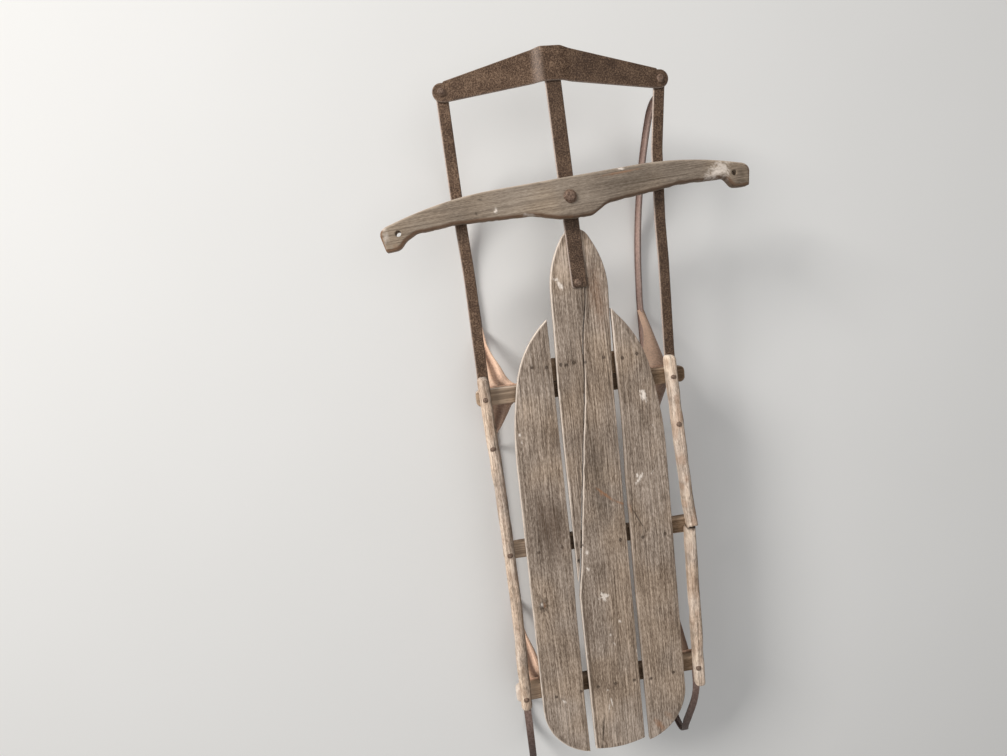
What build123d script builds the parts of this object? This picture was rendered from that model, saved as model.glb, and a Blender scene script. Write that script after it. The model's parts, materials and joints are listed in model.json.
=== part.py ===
from build123d import *
import os
from math import acos, cos, degrees, radians, sin

# Steering snow sled: a board deck on three wooden benches, pressed steel knees on T-section
# runners, side rails of half-round wood, and a wooden steering bar over steel straps.
# X runs from the rear loops of the runners to the bumper, Y to the sled's left, Z up from the
# floor. All sizes are millimetres.

os.makedirs("parts", exist_ok=True)

# Heights and common thicknesses
bench_top = 152.0
bench_thick = 20.0
bench_width = 28.0
board_thick = 12.0
steel_thick = 3.5
seat_gap = 0.1

# Deck boards
deck_half_width = 132.0
centre_half_width = 46.5
nose_tip_x = 364.0
nose_length = 100.0
nose_half_width = 48.5
nose_end = (16.0, 24.0)
nose_y = -6.0
side_tip_x = 222.0
# Inner edge of each side board: distance from the middle at its tip, and at its rear
side_inner = {"left": (55.0, 59.5), "right": (56.5, 56.0)}
# How far each side board spreads past the deck's half width at its rear corner
side_spread = {"left": 4.5, "right": 0.0}
side_bow = (-30.0, 700.0, 13.0)
deck_rear_x = -578.0
rear_corner_radius = 100.0

# Runner: T-section bar, its foot flat on the floor and its web inside the curve
foot_width = 13.0
web_thick = 3.0
web_height = 9.0
rise_radius = 380.0
curl_radius = 60.0
upright_length = 10.0
upright_back = 18.0
tongue_bend = 5.0
loop_radius = 61.5
loop_turn = 142.0
runner_bend_x = 240.0

# Straps and bumper
strap_width = 19.0
centre_strap_width = 26.0
centre_strap_tail = (268.5, -6.0)
centre_strap_front = (619.0, 5.2)
nose_bolt_x = 276.5
nose_bolt_y = -4.0
strap_rise = (150.0, 300.0)
strap_bend = 150.0
rivet_x = 582.0
bumper_front_x = 639.0
bumper_back_x = 588.0
bumper_flat = 17.0
bumper_end_radius = 14.0
joggle = (14.5, 30.0)

# Steering bar, in its own frame about the centre bolt
bar_thick = 24.0
bar_turn = 5.0
bar_front = 30.5
bar_drop = 21.3
bar_straight = 110.0
bar_half_length = 301.0
bar_end = 29.2
rope_hole_x = -8.7
rope_hole_inset = 29.0
rope_hole_radius = 4.5
pivot_x = 408.5
pivot_radius = 4.0
pivot_clearance = 0.05
washer_radius = 15.0
washer_thick = 1.5
running_gap = 0.3

# Rails: half-round wood
rail_width = 20.0
rail_height = 17.0
rail_wall = 7.0

# Fasteners
rivet_radius = 4.0
rivet_head_radius = 6.0
rivet_head_height = 4.5
clench_thick = 2.5
bolt_radius = 2.5
bolt_head_radius = 5.2
bolt_head_height = 2.6
bolt_sink = 2.2
nut_size = 8.0
nut_height = 4.0
head_sides = 12

# Levels worked out from the above
bench_bottom = bench_top - bench_thick
deck_top = bench_top + board_thick
strap_tail_z = bench_top - steel_thick
strap_front_z = deck_top - steel_thick
centre_strap_top = deck_top + steel_thick
bar_bottom = centre_strap_top + washer_thick + running_gap
bar_top = bar_bottom + bar_thick
web_top = steel_thick + web_height
tongue_top = strap_front_z - tongue_bend
# Reach of the cuts and blanks that have to pass the whole sled
reach = 2 * bar_top

# Runner and rivet lines, set out from the deck's edge; the whole frame sits a little to the left
runner_past = {"left": 33.0, "right": 22.5}
rivet_past = {"left": 46.5, "right": 36.5}


def beside(side, past):
    """Y of a point that lies past the deck's edge on one side."""
    return deck_half_width + past if side == "left" else -deck_half_width - past


runner_y = {side: beside(side, past) for side, past in runner_past.items()}
rivet_y = {side: beside(side, past) for side, past in rivet_past.items()}

# Bench centres
bench_front_x = 104.0
bench_rear_inset = 131.0
bench_rear_x = deck_rear_x + bench_rear_inset
bench_middle_x = (bench_front_x + bench_rear_x) / 2 - 0.5

# Benches: name, centre x, reach past the deck's right edge, reach past its left edge
benches = [
    ("bench_front", bench_front_x, 48.0, 54.0),
    ("bench_middle", bench_middle_x, 44.0, 41.0),
    ("bench_rear", bench_rear_x, 40.0, 50.0),
]

# Rail bolts: side, x, distance past the deck's edge. The second of each side holds the strap's tail
strap_tail_x = bench_front_x - 85.5
rail_bolts = [
    ("left", bench_front_x - 1.8, 38.5),
    ("left", strap_tail_x, 36.0),
    ("left", bench_middle_x, 30.0),
    ("left", bench_rear_x, runner_past["left"]),
    ("right", bench_front_x - 1.8, 21.5),
    ("right", strap_tail_x, 25.2),
    ("right", bench_rear_x, 27.0),
]


def bolts_of(side):
    """Points of one side's rail bolts, from front to rear."""
    return [(x, beside(side, past)) for name, x, past in rail_bolts if name == side]


def faceted_rods(points, low, high, radius):
    """Upright rods between two levels, with flats, as all the bolts and rivets have."""
    with BuildPart() as rods:
        with BuildSketch(Plane.XY.offset(low)):
            with Locations(*points):
                RegularPolygon(radius, head_sides)
        extrude(amount=high - low)
    return rods.part


def drill(points, radius, low=0.0, high=reach):
    """Cut the holes of bolts or rivets through the part being built."""
    if points:
        add(faceted_rods(points, low, high, radius), mode=Mode.SUBTRACT)


def finish(builder, label):
    """Label a finished piece and write it."""
    builder.part.label = label
    export_step(builder.part, f"parts/{label}.step")


# Deck boards
# The long split from the nose bolt to the centre board's left edge: x, y, half its width
crack = [
    (280.0, -16.0, 0.3),
    (248.0, -14.0, 0.5),
    (199.0, -5.6, 0.6),
    (174.0, -2.6, 0.6),
    (124.0, 0.2, 0.6),
    (73.0, 5.4, 0.7),
    (-22.0, 17.6, 0.8),
    (-129.0, 30.2, 0.9),
    (-220.0, 41.2, 1.2),
    (-268.0, 49.0, 1.6),
]
crack_left = [(x, y + half) for x, y, half in crack]
crack_right = [(x, y - half) for x, y, half in reversed(crack)]

with BuildPart() as centre_board:
    with BuildSketch(Plane.XY.offset(bench_top)):
        with BuildLine():
            rear = ThreePointArc(
                (deck_rear_x + 8.0, 0.0 - centre_half_width),
                (deck_rear_x, 0.0),
                (deck_rear_x + 4.0, centre_half_width),
            )
            shoulder_x = nose_tip_x - nose_length
            end_length, end_half_width = nose_end
            shoulders = [(shoulder_x, nose_y + way * nose_half_width) for way in (1, -1)]
            tips = [(nose_tip_x - end_length, nose_y + way * end_half_width) for way in (1, -1)]
            Polyline(rear @ 1, (bench_front_x, centre_half_width), shoulders[0])
            Polyline(rear @ 0, (bench_front_x, -centre_half_width - 1.5), shoulders[1])
            TangentArc(shoulders[0], tips[0], tangent=(1.0, 0.0))
            TangentArc(shoulders[1], tips[1], tangent=(1.0, 0.0))
            ThreePointArc(tips[0], (nose_tip_x, nose_y), tips[1])
        make_face()
    extrude(amount=board_thick)
    with BuildSketch(Plane.XY.offset(bench_top)):
        with BuildLine():
            Polyline(*crack_left, *crack_right, close=True)
        make_face()
    extrude(amount=board_thick, mode=Mode.SUBTRACT)
    drill([(nose_bolt_x, nose_bolt_y)], bolt_radius + seat_gap)
finish(centre_board, "centre_board")


def side_board(side, sign):
    """One side board: pointed front, bowed outer edge and a quarter-round rear corner."""
    front_inner, rear_inner = side_inner[side]
    rear_outer = deck_half_width + side_spread[side]
    bow_x, bow_radius, bow_turn = side_bow
    rear_point = (deck_rear_x + 1.0, rear_inner)
    with BuildPart() as board:
        with BuildSketch(Plane.XY.offset(bench_top)):
            with BuildLine():
                bow = JernArc((bow_x, deck_half_width), (1.0, 0.0), bow_radius, -bow_turn)
                tip = TangentArc(bow @ 1, (side_tip_x, front_inner), tangent=bow % 1)
                Polyline(tip @ 1, (bench_middle_x, front_inner), rear_point)
                corner_x = deck_rear_x + rear_corner_radius - 2.0
                TangentArc((corner_x, rear_outer), rear_point, tangent=(-1.0, 0.0))
                Line((corner_x, rear_outer), bow @ 0)
                if sign < 0:
                    mirror(about=Plane.XZ, mode=Mode.REPLACE)
            make_face()
        extrude(amount=board_thick)
    finish(board, f"side_board_{side}")


side_board("left", 1)
side_board("right", -1)


# Straps
# Bends of the side straps seen from above: x, distance past the deck's edge
strap_bends = {
    "left": [(bench_front_x, 38.4), (300.0, 39.3), (430.0, 44.2)],
    "right": [(bench_front_x, 23.5), (365.0, 20.2), (476.0, 24.2)],
}


def side_strap_plan(side, width):
    """Outline of a side strap seen from above, from its rear bolt to its rivet."""
    rear_bolt = bolts_of(side)[1]
    bends = [(x, beside(side, past)) for x, past in strap_bends[side]]
    with BuildSketch() as plan:
        with BuildLine():
            Polyline(rear_bolt, *bends, (rivet_x, rivet_y[side]))
            offset(amount=width / 2, mode=Mode.REPLACE)
        make_face()
    return plan.sketch


def side_strap(side):
    """Steel strap, let into the front bench and rising to the level of the deck's top."""
    rise_start, rise_end = strap_rise
    with BuildPart() as strap:
        with BuildSketch(Plane.XZ):
            with BuildLine():
                FilletPolyline(
                    (strap_tail_x - strap_width, strap_tail_z + steel_thick / 2),
                    (rise_start, strap_tail_z + steel_thick / 2),
                    (rise_end, strap_front_z + steel_thick / 2),
                    (bumper_front_x, strap_front_z + steel_thick / 2),
                    radius=strap_bend,
                )
                offset(amount=steel_thick / 2, mode=Mode.REPLACE)
            make_face()
        extrude(amount=reach, both=True)
        with BuildSketch(Plane.XY):
            add(side_strap_plan(side, strap_width))
        extrude(amount=reach, mode=Mode.INTERSECT)
        drill(bolts_of(side)[:2], bolt_radius + seat_gap)
        drill([(rivet_x, rivet_y[side])], rivet_radius + seat_gap)
    finish(strap, f"side_strap_{side}")


side_strap("left")
side_strap("right")

strap_run = Vector(*centre_strap_front) - Vector(*centre_strap_tail)
strap_plane = Plane(origin=(*centre_strap_tail, deck_top), x_dir=strap_run, z_dir=(0.0, 0.0, 1.0))

with BuildPart() as centre_strap:
    with BuildSketch(strap_plane) as strap_outline:
        along = (Align.MIN, Align.CENTER)
        Rectangle(strap_run.length + centre_strap_width / 2, centre_strap_width, align=along)
        fillet(strap_outline.vertices(), radius=4.0)
    extrude(amount=steel_thick)
    drill([(nose_bolt_x, nose_bolt_y)], bolt_radius + seat_gap)
    with Locations((pivot_x, 0.0, deck_top)):
        Cylinder(pivot_radius + seat_gap, reach, mode=Mode.SUBTRACT)
finish(centre_strap, "centre_strap")


# Bumper: a flat chevron that steps up over the centre strap
def bumper_half(sign):
    """One half of the bumper's outline, from its middle to the round end."""
    front_corner = Vector(bumper_front_x, bumper_flat)
    back_corner = Vector(bumper_back_x, bumper_flat)
    rivet = Vector(rivet_x, (rivet_y["left"] - rivet_y["right"]) / 2)
    front_normal = (rivet - front_corner).rotate(Axis.Z, -90).normalized()
    back_normal = (rivet - back_corner).rotate(Axis.Z, 90).normalized()
    front_end = rivet + front_normal * bumper_end_radius
    back_end = rivet + back_normal * bumper_end_radius
    outer_end = rivet + (front_normal + back_normal).normalized() * bumper_end_radius
    corners = [front_corner, front_end, outer_end, back_end, back_corner]
    points = [(corner.X, sign * corner.Y + bumper_y) for corner in corners]
    Polyline((bumper_front_x, bumper_y), points[0], points[1])
    ThreePointArc(points[1], points[2], points[3])
    Polyline(points[3], points[4], (bumper_back_x, bumper_y))


bumper_y = (rivet_y["left"] + rivet_y["right"]) / 2
step_in, step_out = joggle
wing_reach = 2 * deck_half_width

with BuildPart() as bumper:
    with BuildSketch(Plane.YZ):
        with BuildLine():
            Polyline(
                (-wing_reach, deck_top + steel_thick / 2),
                (bumper_y - step_out, deck_top + steel_thick / 2),
                (bumper_y - step_in, centre_strap_top + steel_thick / 2),
                (bumper_y + step_in, centre_strap_top + steel_thick / 2),
                (bumper_y + step_out, deck_top + steel_thick / 2),
                (wing_reach, deck_top + steel_thick / 2),
            )
            offset(amount=steel_thick / 2, mode=Mode.REPLACE)
        make_face()
    extrude(amount=2 * reach)
    with BuildSketch(Plane.XY):
        with BuildLine():
            bumper_half(1)
            bumper_half(-1)
        make_face()
    extrude(amount=reach, mode=Mode.INTERSECT)
    drill([(rivet_x, rivet_y["left"]), (rivet_x, rivet_y["right"])], rivet_radius + seat_gap)
finish(bumper, "bumper")


# Runners
def runner_edge(inset, tongue):
    """Side view of the runner at one depth inside its ground face, front end first."""
    upright_x = rivet_x - upright_back
    curl_x = upright_x - curl_radius
    curl_z = tongue_top - steel_thick - upright_length
    rise_turn = degrees(acos((rise_radius - curl_z) / (rise_radius - curl_radius)))
    rise_x = curl_x - (rise_radius - curl_radius) * sin(radians(rise_turn))
    loop_end = 270.0 - loop_turn
    loop_sine = sin(radians(loop_end))
    top_radius = (bench_top - loop_radius * (1 + loop_sine)) / (1 - loop_sine)
    top_x = deck_rear_x - (top_radius - loop_radius) * cos(radians(loop_end))
    if tongue:
        bend_z = tongue_top - steel_thick
        bend_x = upright_x + tongue_bend
        Line((rivet_x + foot_width, bend_z + tongue_bend + inset), (bend_x, bend_z + tongue_bend + inset))
        CenterArc((bend_x, bend_z), tongue_bend + inset, 90.0, 90.0)
        Line((upright_x - inset, bend_z), (upright_x - inset, curl_z))
    CenterArc((curl_x, curl_z), curl_radius - inset, 0.0, rise_turn - 90.0)
    CenterArc((rise_x, rise_radius), rise_radius - inset, rise_turn - 90.0, -rise_turn)
    Line((rise_x, inset), (deck_rear_x, inset))
    CenterArc((deck_rear_x, loop_radius), loop_radius - inset, -90.0, -loop_turn)
    CenterArc((top_x, bench_top - top_radius), top_radius - inset, loop_end, 90.0 - loop_end)
    if tongue:
        Line((top_x, bench_top - inset), (bench_rear_x + bench_width / 2, bench_top - inset))


def runner_band(near, far, tongue):
    """Face between two depths inside the runner's ground face."""
    with BuildLine() as near_line:
        runner_edge(near, tongue)
    with BuildLine() as far_line:
        runner_edge(far, tongue)
    near_wire = near_line.wires()[0]
    far_wire = far_line.wires()[0]
    with BuildSketch() as band:
        with BuildLine():
            add(near_wire)
            add(far_wire)
            Line(near_wire @ 0, far_wire @ 0)
            Line(near_wire @ 1, far_wire @ 1)
        make_face()
    return band.sketch


# The right loop is bent inwards. Its line seen from above: x past the deck's rear edge, distance
# past the deck's edge, first along the floor and then back over the top to the bench
crown_reach = 48.0
loop_low = {"left": [(18.0, 33.0)], "right": [(18.0, 22.5)]}
loop_high = {
    "left": [(-18.0, 33.0), (-140.0, 33.0)],
    "right": [(22.0, 7.5), (-15.0, 12.0), (-50.0, 20.5), (-82.0, 26.0), (-150.0, 27.0)],
}
crown_past = {"left": 33.0, "right": 13.0}


def runner_plan(side, width, high):
    """Outline of a runner seen from above: its lower part to the rivet, or the top of its loop."""
    rear_x = deck_rear_x - 2 * loop_radius
    crown_y = beside(side, crown_past[side])
    rows = loop_high[side] if high else loop_low[side]
    bends = [(deck_rear_x - back, beside(side, past)) for back, past in rows]
    if not high:
        bends = bends + [(runner_bend_x, runner_y[side]), (rivet_x, rivet_y[side])]
    with BuildSketch() as plan:
        with BuildLine():
            Polyline((rear_x, crown_y), (deck_rear_x - crown_reach, crown_y), *bends)
            offset(amount=width / 2, mode=Mode.REPLACE)
        make_face()
    return plan.sketch


def runner_prism(side, width):
    """Upright prism over a runner's line, its two levels meeting at the middle of the loop."""
    with BuildPart() as prism:
        with BuildSketch(Plane.XY.offset(-1.0)):
            add(runner_plan(side, width, False))
        extrude(amount=loop_radius + 1.0)
        with BuildSketch(Plane.XY.offset(loop_radius)):
            add(runner_plan(side, width, True))
        extrude(amount=reach)
        with BuildSketch(Plane.XY.offset(loop_radius)):
            add(runner_plan(side, width, False))
            with Locations((deck_rear_x, 0.0)):
                Rectangle(reach, 2 * reach, mode=Mode.SUBTRACT)
        extrude(amount=reach)
    return prism.part


def runner(side):
    """T-section runner: curled up in front, straight, and looped up behind to the rail."""
    with BuildPart() as web:
        with BuildSketch(Plane.XZ):
            add(runner_band(steel_thick, web_top, False))
        extrude(amount=reach, both=True)
        add(runner_prism(side, web_thick), mode=Mode.INTERSECT)
    with BuildPart() as bar:
        with BuildSketch(Plane.XZ):
            add(runner_band(0.0, steel_thick, True))
        extrude(amount=reach, both=True)
        add(runner_prism(side, foot_width), mode=Mode.INTERSECT)
        add(web.part)
        drill([(rivet_x, rivet_y[side])], rivet_radius + seat_gap)
        drill(bolts_of(side)[-1:], bolt_radius + seat_gap, bench_bottom, deck_top)
    finish(bar, f"runner_{side}")


runner("left")
runner("right")

# Knees: a plate under the bench and two channel legs spread along the runner
knee_sheet = 2.0
knee_web = 2.6
knee_depth = 10.0
knee_spread = 119.0
knee_reach = 53.0
knee_overhang = 9.5
knee_lean = 1.5
knee_foot = (16.0, 8.0)
# drop below the plate, reach inboard of the runner's middle
knee_flare = [(0.0, knee_reach), (38.0, 26.0), (76.0, 14.0)]
leg_top_z = bench_bottom - knee_sheet
leg_top_x = bench_width / 2 + knee_sheet - knee_depth / 2


def knee_outline(side, wall):
    """Knee seen from the front: wide under the bench, curving down to the runner's foot."""
    line = runner_y[side]
    inboard = -1 if side == "left" else 1
    edge = [(line + inboard * (reach - wall), leg_top_z - drop) for drop, reach in knee_flare]
    plate_y = line - inboard * (knee_overhang - wall)
    leg_y = line - inboard * (knee_lean - wall)
    foot_y = line - inboard * (foot_width / 2 - wall)
    toe = (line + inboard * (foot_width / 2 - wall), steel_thick)
    corner = (edge[0][0], bench_bottom)
    with BuildSketch() as outline:
        with BuildLine():
            ThreePointArc(*edge)
            leg = [toe, (foot_y, steel_thick), (leg_y, leg_top_z)]
            plate = [(plate_y, leg_top_z), (plate_y, bench_bottom), corner]
            Polyline(edge[-1], *leg, *plate, edge[0])
        make_face()
    return outline.sketch


def knee_legs(x, web, lowest):
    """Both legs from the side, or with a web the space that their channels leave open."""
    lean = (knee_spread - leg_top_x) / (leg_top_z - steel_thick)
    with BuildSketch() as legs:
        for way in (1, -1):
            near = leg_top_x - knee_depth / 2 + web
            far = near + knee_depth
            low = (leg_top_z - lowest) * lean
            with BuildLine():
                Polyline(
                    (x + way * near, leg_top_z),
                    (x + way * far, leg_top_z),
                    (x + way * (far + low), lowest),
                    (x + way * (near + low), lowest),
                    close=True,
                )
            make_face()
    return legs.sketch


def knee(label, x, side):
    """Pressed steel knee between a bench and a runner."""
    line = runner_y[side]
    foot_length, foot_height = knee_foot
    with BuildPart() as hollow:
        with BuildSketch(Plane.XZ):
            add(knee_legs(x, knee_web, steel_thick + foot_height))
        extrude(amount=reach, both=True)
        with BuildSketch(Plane.YZ):
            add(knee_outline(side, knee_sheet))
        extrude(amount=2 * reach, both=True, mode=Mode.INTERSECT)
    with BuildPart() as piece:
        with BuildSketch(Plane.XZ):
            add(knee_legs(x, 0.0, steel_thick))
            with Locations((x, leg_top_z + knee_sheet / 2)):
                Rectangle(bench_width + 2 * knee_sheet, knee_sheet)
        extrude(amount=reach, both=True)
        with BuildSketch(Plane.YZ):
            add(knee_outline(side, 0.0))
        extrude(amount=2 * reach, both=True, mode=Mode.INTERSECT)
        add(hollow.part, mode=Mode.SUBTRACT)
        for way in (1, -1):
            with Locations((x + way * knee_spread, line, steel_thick + foot_height / 2)):
                Box(foot_length, foot_width, foot_height)
            with Locations((x + way * knee_spread, line, steel_thick + web_height / 2)):
                slot_width = web_thick + 2 * seat_gap
                slot_height = web_height + 2 * seat_gap
                Box(2 * foot_length, slot_width, slot_height, mode=Mode.SUBTRACT)
        drill([point for point in bolts_of(side) if abs(point[0] - x) < bench_width / 2], bolt_radius + seat_gap)
    finish(piece, label)


for place, x in (("front", bench_front_x), ("rear", bench_rear_x)):
    for side in ("left", "right"):
        knee(f"knee_{place}_{side}", x, side)


# Benches and the cleat under the front of the deck
bench_end_radius = 9.0


def housing_plan(label, side):
    """Outline of the steel that is let into a bench's top."""
    if label == "bench_front":
        return side_strap_plan(side, strap_width + 2 * seat_gap)
    return runner_plan(side, foot_width + 2 * seat_gap, True)



def bench(label, x, right_past, left_past):
    """Cross bar with rounded ends, its top housed for the steel that crosses it."""
    right_y = beside("right", right_past)
    left_y = beside("left", left_past)
    with BuildPart() as bar:
        with Locations((x, (right_y + left_y) / 2, bench_top - bench_thick / 2)):
            Box(bench_width, left_y - right_y, bench_thick)
        fillet(bar.edges().filter_by(Axis.Z), radius=bench_end_radius)
        for side in ("left", "right"):
            if label != "bench_middle":
                with BuildSketch(Plane.XY.offset(strap_tail_z)):
                    add(housing_plan(label, side))
                extrude(amount=steel_thick, mode=Mode.SUBTRACT)
            drill(bolts_of(side), bolt_radius + seat_gap)
    finish(bar, label)


for label, x, right_past, left_past in benches:
    bench(label, x, right_past, left_past)

cleat_width = 38.0
cleat_half_length = 88.0
cleat_thick = 12.0
cleat_x = bench_front_x + bench_width / 2 + 1.0 + cleat_width / 2

with BuildPart() as cleat:
    with Locations((cleat_x, 0.0, bench_top - cleat_thick / 2)):
        Box(cleat_width, 2 * cleat_half_length, cleat_thick)
    chamfer(cleat.edges().group_by(Axis.Z)[0], length=2.0)
finish(cleat, "front_cleat")

# Line of each rail, front to rear: x, distance past the deck's edge
rail_front_x = bench_front_x + 36.0
rail_bend_share = 0.34
rail_bend_x = bench_front_x + (bench_rear_x - bench_front_x) * rail_bend_share
rail_bow_x = bench_rear_x + (bench_front_x - bench_rear_x) * rail_bend_share
rail_lines = {
    "rail_left": [
        (rail_front_x, 39.3),
        (rail_bend_x, 31.9),
        (rail_bow_x, 29.8),
        (bench_rear_x - 25.0, 33.4),
    ],
    "rail_right_front": [(rail_front_x, 19.6), (bench_middle_x + 1.0, 33.6)],
    "rail_right_rear": [(bench_middle_x - 2.0, 33.2), (bench_rear_x - 41.0, 30.5)],
}


def rail(label, side, line):
    """Half-round rail, or a piece of one, along its line."""
    points = [(x, beside(side, past)) for x, past in line]
    half = rail_width / 2
    with BuildPart() as piece:
        with BuildLine(Plane.XY.offset(bench_top)) as path:
            Polyline(*points)
        with BuildSketch(Plane(origin=path.line @ 0, x_dir=(0.0, 1.0, 0.0), z_dir=path.line % 0)):
            with BuildLine():
                Polyline((-half, -rail_wall), (-half, 0.0), (half, 0.0), (half, -rail_wall))
                ThreePointArc((half, -rail_wall), (0.0, -rail_height), (-half, -rail_wall))
            make_face()
        sweep(transition=Transition.RIGHT)
        drill(bolts_of(side), bolt_radius + seat_gap)
        drill(bolts_of(side), bolt_head_radius + seat_gap, bench_top + rail_height - bolt_sink)
    finish(piece, label)


for label, line in rail_lines.items():
    rail(label, label.split("_")[1], line)


# Fasteners
# Share of a head's height that its hammered edge takes
head_slope = 0.6


def domed_head(x, y, under, radius, rise):
    """A head with a hammered edge, standing on the given level."""
    with BuildPart() as dome:
        add(faceted_rods([(x, y)], under, under + rise, radius))
        chamfer(dome.edges().group_by(Axis.Z)[-1], length=rise * head_slope)
    return dome.part


def headed_pin(x, y, top, bottom, shank, head, rise):
    """A headed rod that reaches down to its nut or its clenched end."""
    add(domed_head(x, y, top, head, rise))
    add(faceted_rods([(x, y)], bottom, top, shank))


def bolt_end_z(x):
    """Level of the nut of a rail bolt: under a knee, under a bench, or under the strap's tail."""
    if abs(x - bench_middle_x) < bench_width / 2:
        return bench_bottom
    if min(abs(x - bench_front_x), abs(x - bench_rear_x)) < bench_width / 2:
        return leg_top_z
    return strap_tail_z


def square_nut(x, y, top):
    """A square nut whose upper face is at the given level."""
    with Locations((x, y, top)):
        Box(nut_size, nut_size, nut_height, align=(Align.CENTER, Align.CENTER, Align.MAX))


for side in ("left", "right"):
    with BuildPart() as rivet:
        wing_top = deck_top + steel_thick
        tongue_bottom = strap_front_z - steel_thick
        y = rivet_y[side]
        headed_pin(rivet_x, y, wing_top, tongue_bottom, rivet_radius, rivet_head_radius, rivet_head_height)
        add(faceted_rods([(rivet_x, y)], tongue_bottom - clench_thick, tongue_bottom, rivet_head_radius))
    finish(rivet, f"bumper_rivet_{side}")

    with BuildPart() as bolt_set:
        for x, y in bolts_of(side):
            head_z = bench_top + rail_height - bolt_sink
            under = bolt_end_z(x)
            headed_pin(x, y, head_z, under, bolt_radius, bolt_head_radius, bolt_head_height)
            square_nut(x, y, under)
    finish(bolt_set, f"rail_bolts_{side}")

with BuildPart() as nose_bolt:
    headed_pin(nose_bolt_x, nose_bolt_y, centre_strap_top, bench_top, bolt_radius, 6.5, 3.5)
    square_nut(nose_bolt_x, nose_bolt_y, bench_top)
finish(nose_bolt, "nose_bolt")

with BuildPart() as steering_bolt:
    upright = (Align.CENTER, Align.CENTER, Align.MIN)
    add(domed_head(pivot_x, 0.0, bar_top + running_gap, 10.0, 5.0))
    with Locations((pivot_x, 0.0, deck_top)):
        Cylinder(pivot_radius, bar_top + running_gap - deck_top, align=upright)
    with Locations((pivot_x, 0.0, centre_strap_top)):
        Cylinder(washer_radius, washer_thick, align=upright)
    square_nut(pivot_x, 0.0, deck_top)
finish(steering_bolt, "steering_bolt")

# Steering bar: half outline across the sled, then mirrored; x forward, y to its end
# x, distance in from the bar's end, corner radius
bar_corners = [
    (1.4, 0.0, 10.0),
    (-34.0, 5.0, 7.0),
    (-34.0, 37.0, 6.0),
    (-15.0, 43.0, 12.0),
    (-9.5, 116.0, 150.0),
    (-17.5, 241.0, 30.0),
    (-32.0, 265.0, 14.0),
]
bar_corner_points = [(x, bar_half_length - back) for x, back, radius in bar_corners]
bar_corner_radii = [radius for x, back, radius in bar_corners]
bar_plane = Plane(
    origin=(pivot_x, 0.0, bar_bottom),
    x_dir=(cos(radians(bar_turn)), sin(radians(bar_turn)), 0.0),
    z_dir=(0.0, 0.0, 1.0),
)

with BuildPart() as steering_bar:
    with BuildSketch(bar_plane):
        with BuildLine():
            front = Line((bar_front, 0.0), (bar_front, bar_straight))
            bow_end = (bar_front - bar_drop, bar_half_length - bar_end)
            bow = TangentArc(front @ 1, bow_end, tangent=(0.0, 1.0))
            middle = (bar_corners[-1][0], 0.0)
            FilletPolyline(bow @ 1, *bar_corner_points, middle, radius=bar_corner_radii)
            mirror(about=Plane.XZ)
        make_face()
        hole_y = bar_half_length - rope_hole_inset
        with Locations((rope_hole_x, hole_y), (rope_hole_x, -hole_y)):
            Circle(rope_hole_radius, mode=Mode.SUBTRACT)
        Circle(pivot_radius + pivot_clearance, mode=Mode.SUBTRACT)
    extrude(amount=bar_thick)
finish(steering_bar, "steering_bar")
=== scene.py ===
import json

import bmesh
import bpy
import numpy as np
from mathutils import Matrix, Vector


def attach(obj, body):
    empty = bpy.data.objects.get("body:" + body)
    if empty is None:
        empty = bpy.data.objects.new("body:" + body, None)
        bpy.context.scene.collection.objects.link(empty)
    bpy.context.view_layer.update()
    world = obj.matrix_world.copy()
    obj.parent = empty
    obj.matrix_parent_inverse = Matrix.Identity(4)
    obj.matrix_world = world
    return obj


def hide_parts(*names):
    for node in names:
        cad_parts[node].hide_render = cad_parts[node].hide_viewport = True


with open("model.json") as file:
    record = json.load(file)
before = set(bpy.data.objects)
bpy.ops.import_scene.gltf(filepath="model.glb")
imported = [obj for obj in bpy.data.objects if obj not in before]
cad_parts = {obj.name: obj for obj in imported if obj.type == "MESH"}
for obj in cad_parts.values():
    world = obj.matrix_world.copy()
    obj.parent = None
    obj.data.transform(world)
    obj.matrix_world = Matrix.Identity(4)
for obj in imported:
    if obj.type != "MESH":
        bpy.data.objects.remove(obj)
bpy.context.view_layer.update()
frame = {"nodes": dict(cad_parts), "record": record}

# A child's old snow sled with a steering bar: bare boards, worn rails and rusted steel. Lengths are in millimetres,
# and MM turns them into metres.
MM = 0.001


# Noise and lines that the pieces' relief is drawn from

def lattice(u, v, seed):
    """Smooth noise from 0 to 1: a random height at each whole u and v, joined by smooth steps both ways."""
    heights = np.random.default_rng(seed).random((64, 512))
    row, column = np.floor(u).astype(int), np.floor(v).astype(int)
    a, b = u - row, v - column
    a, b = a * a * (3 - 2 * a), b * b * (3 - 2 * b)
    low = heights[row % 64, column % 512] * (1 - b) + heights[row % 64, (column + 1) % 512] * b
    high = heights[(row + 1) % 64, column % 512] * (1 - b) + heights[(row + 1) % 64, (column + 1) % 512] * b
    return low * (1 - a) + high * a


def near(distance, radius):
    """1 at a place and 0 from the radius on: a smooth step that falls with the distance."""
    share = np.clip(1 - distance / radius, 0, 1)
    return share * share * (3 - 2 * share)


def eased(at, places, values, reach):
    """A line through a few places and values, its corners rounded by taking the mean over a short reach."""
    steps = np.linspace(-reach, reach, 9)
    return sum(np.interp(at + step, places, values) for step in steps) / len(steps)


def quarter(distance, radius):
    """How far a rounded edge lies below the face: a quarter circle that ends at the radius."""
    share = 1 - np.clip(distance / radius, 0, 1)
    return radius * (1 - np.sqrt(1 - share * share))


def bulge(offset, radius):
    """Height of a circle over its middle at a sideways offset, 0 beyond it."""
    return np.sqrt(np.maximum(radius ** 2 - offset ** 2, 0))


def furrows(noise):
    """Depth from 0 to 1 of the hollows that a noise makes where it is low."""
    return np.clip((0.5 - noise) / 0.3, 0, 1)


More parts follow.
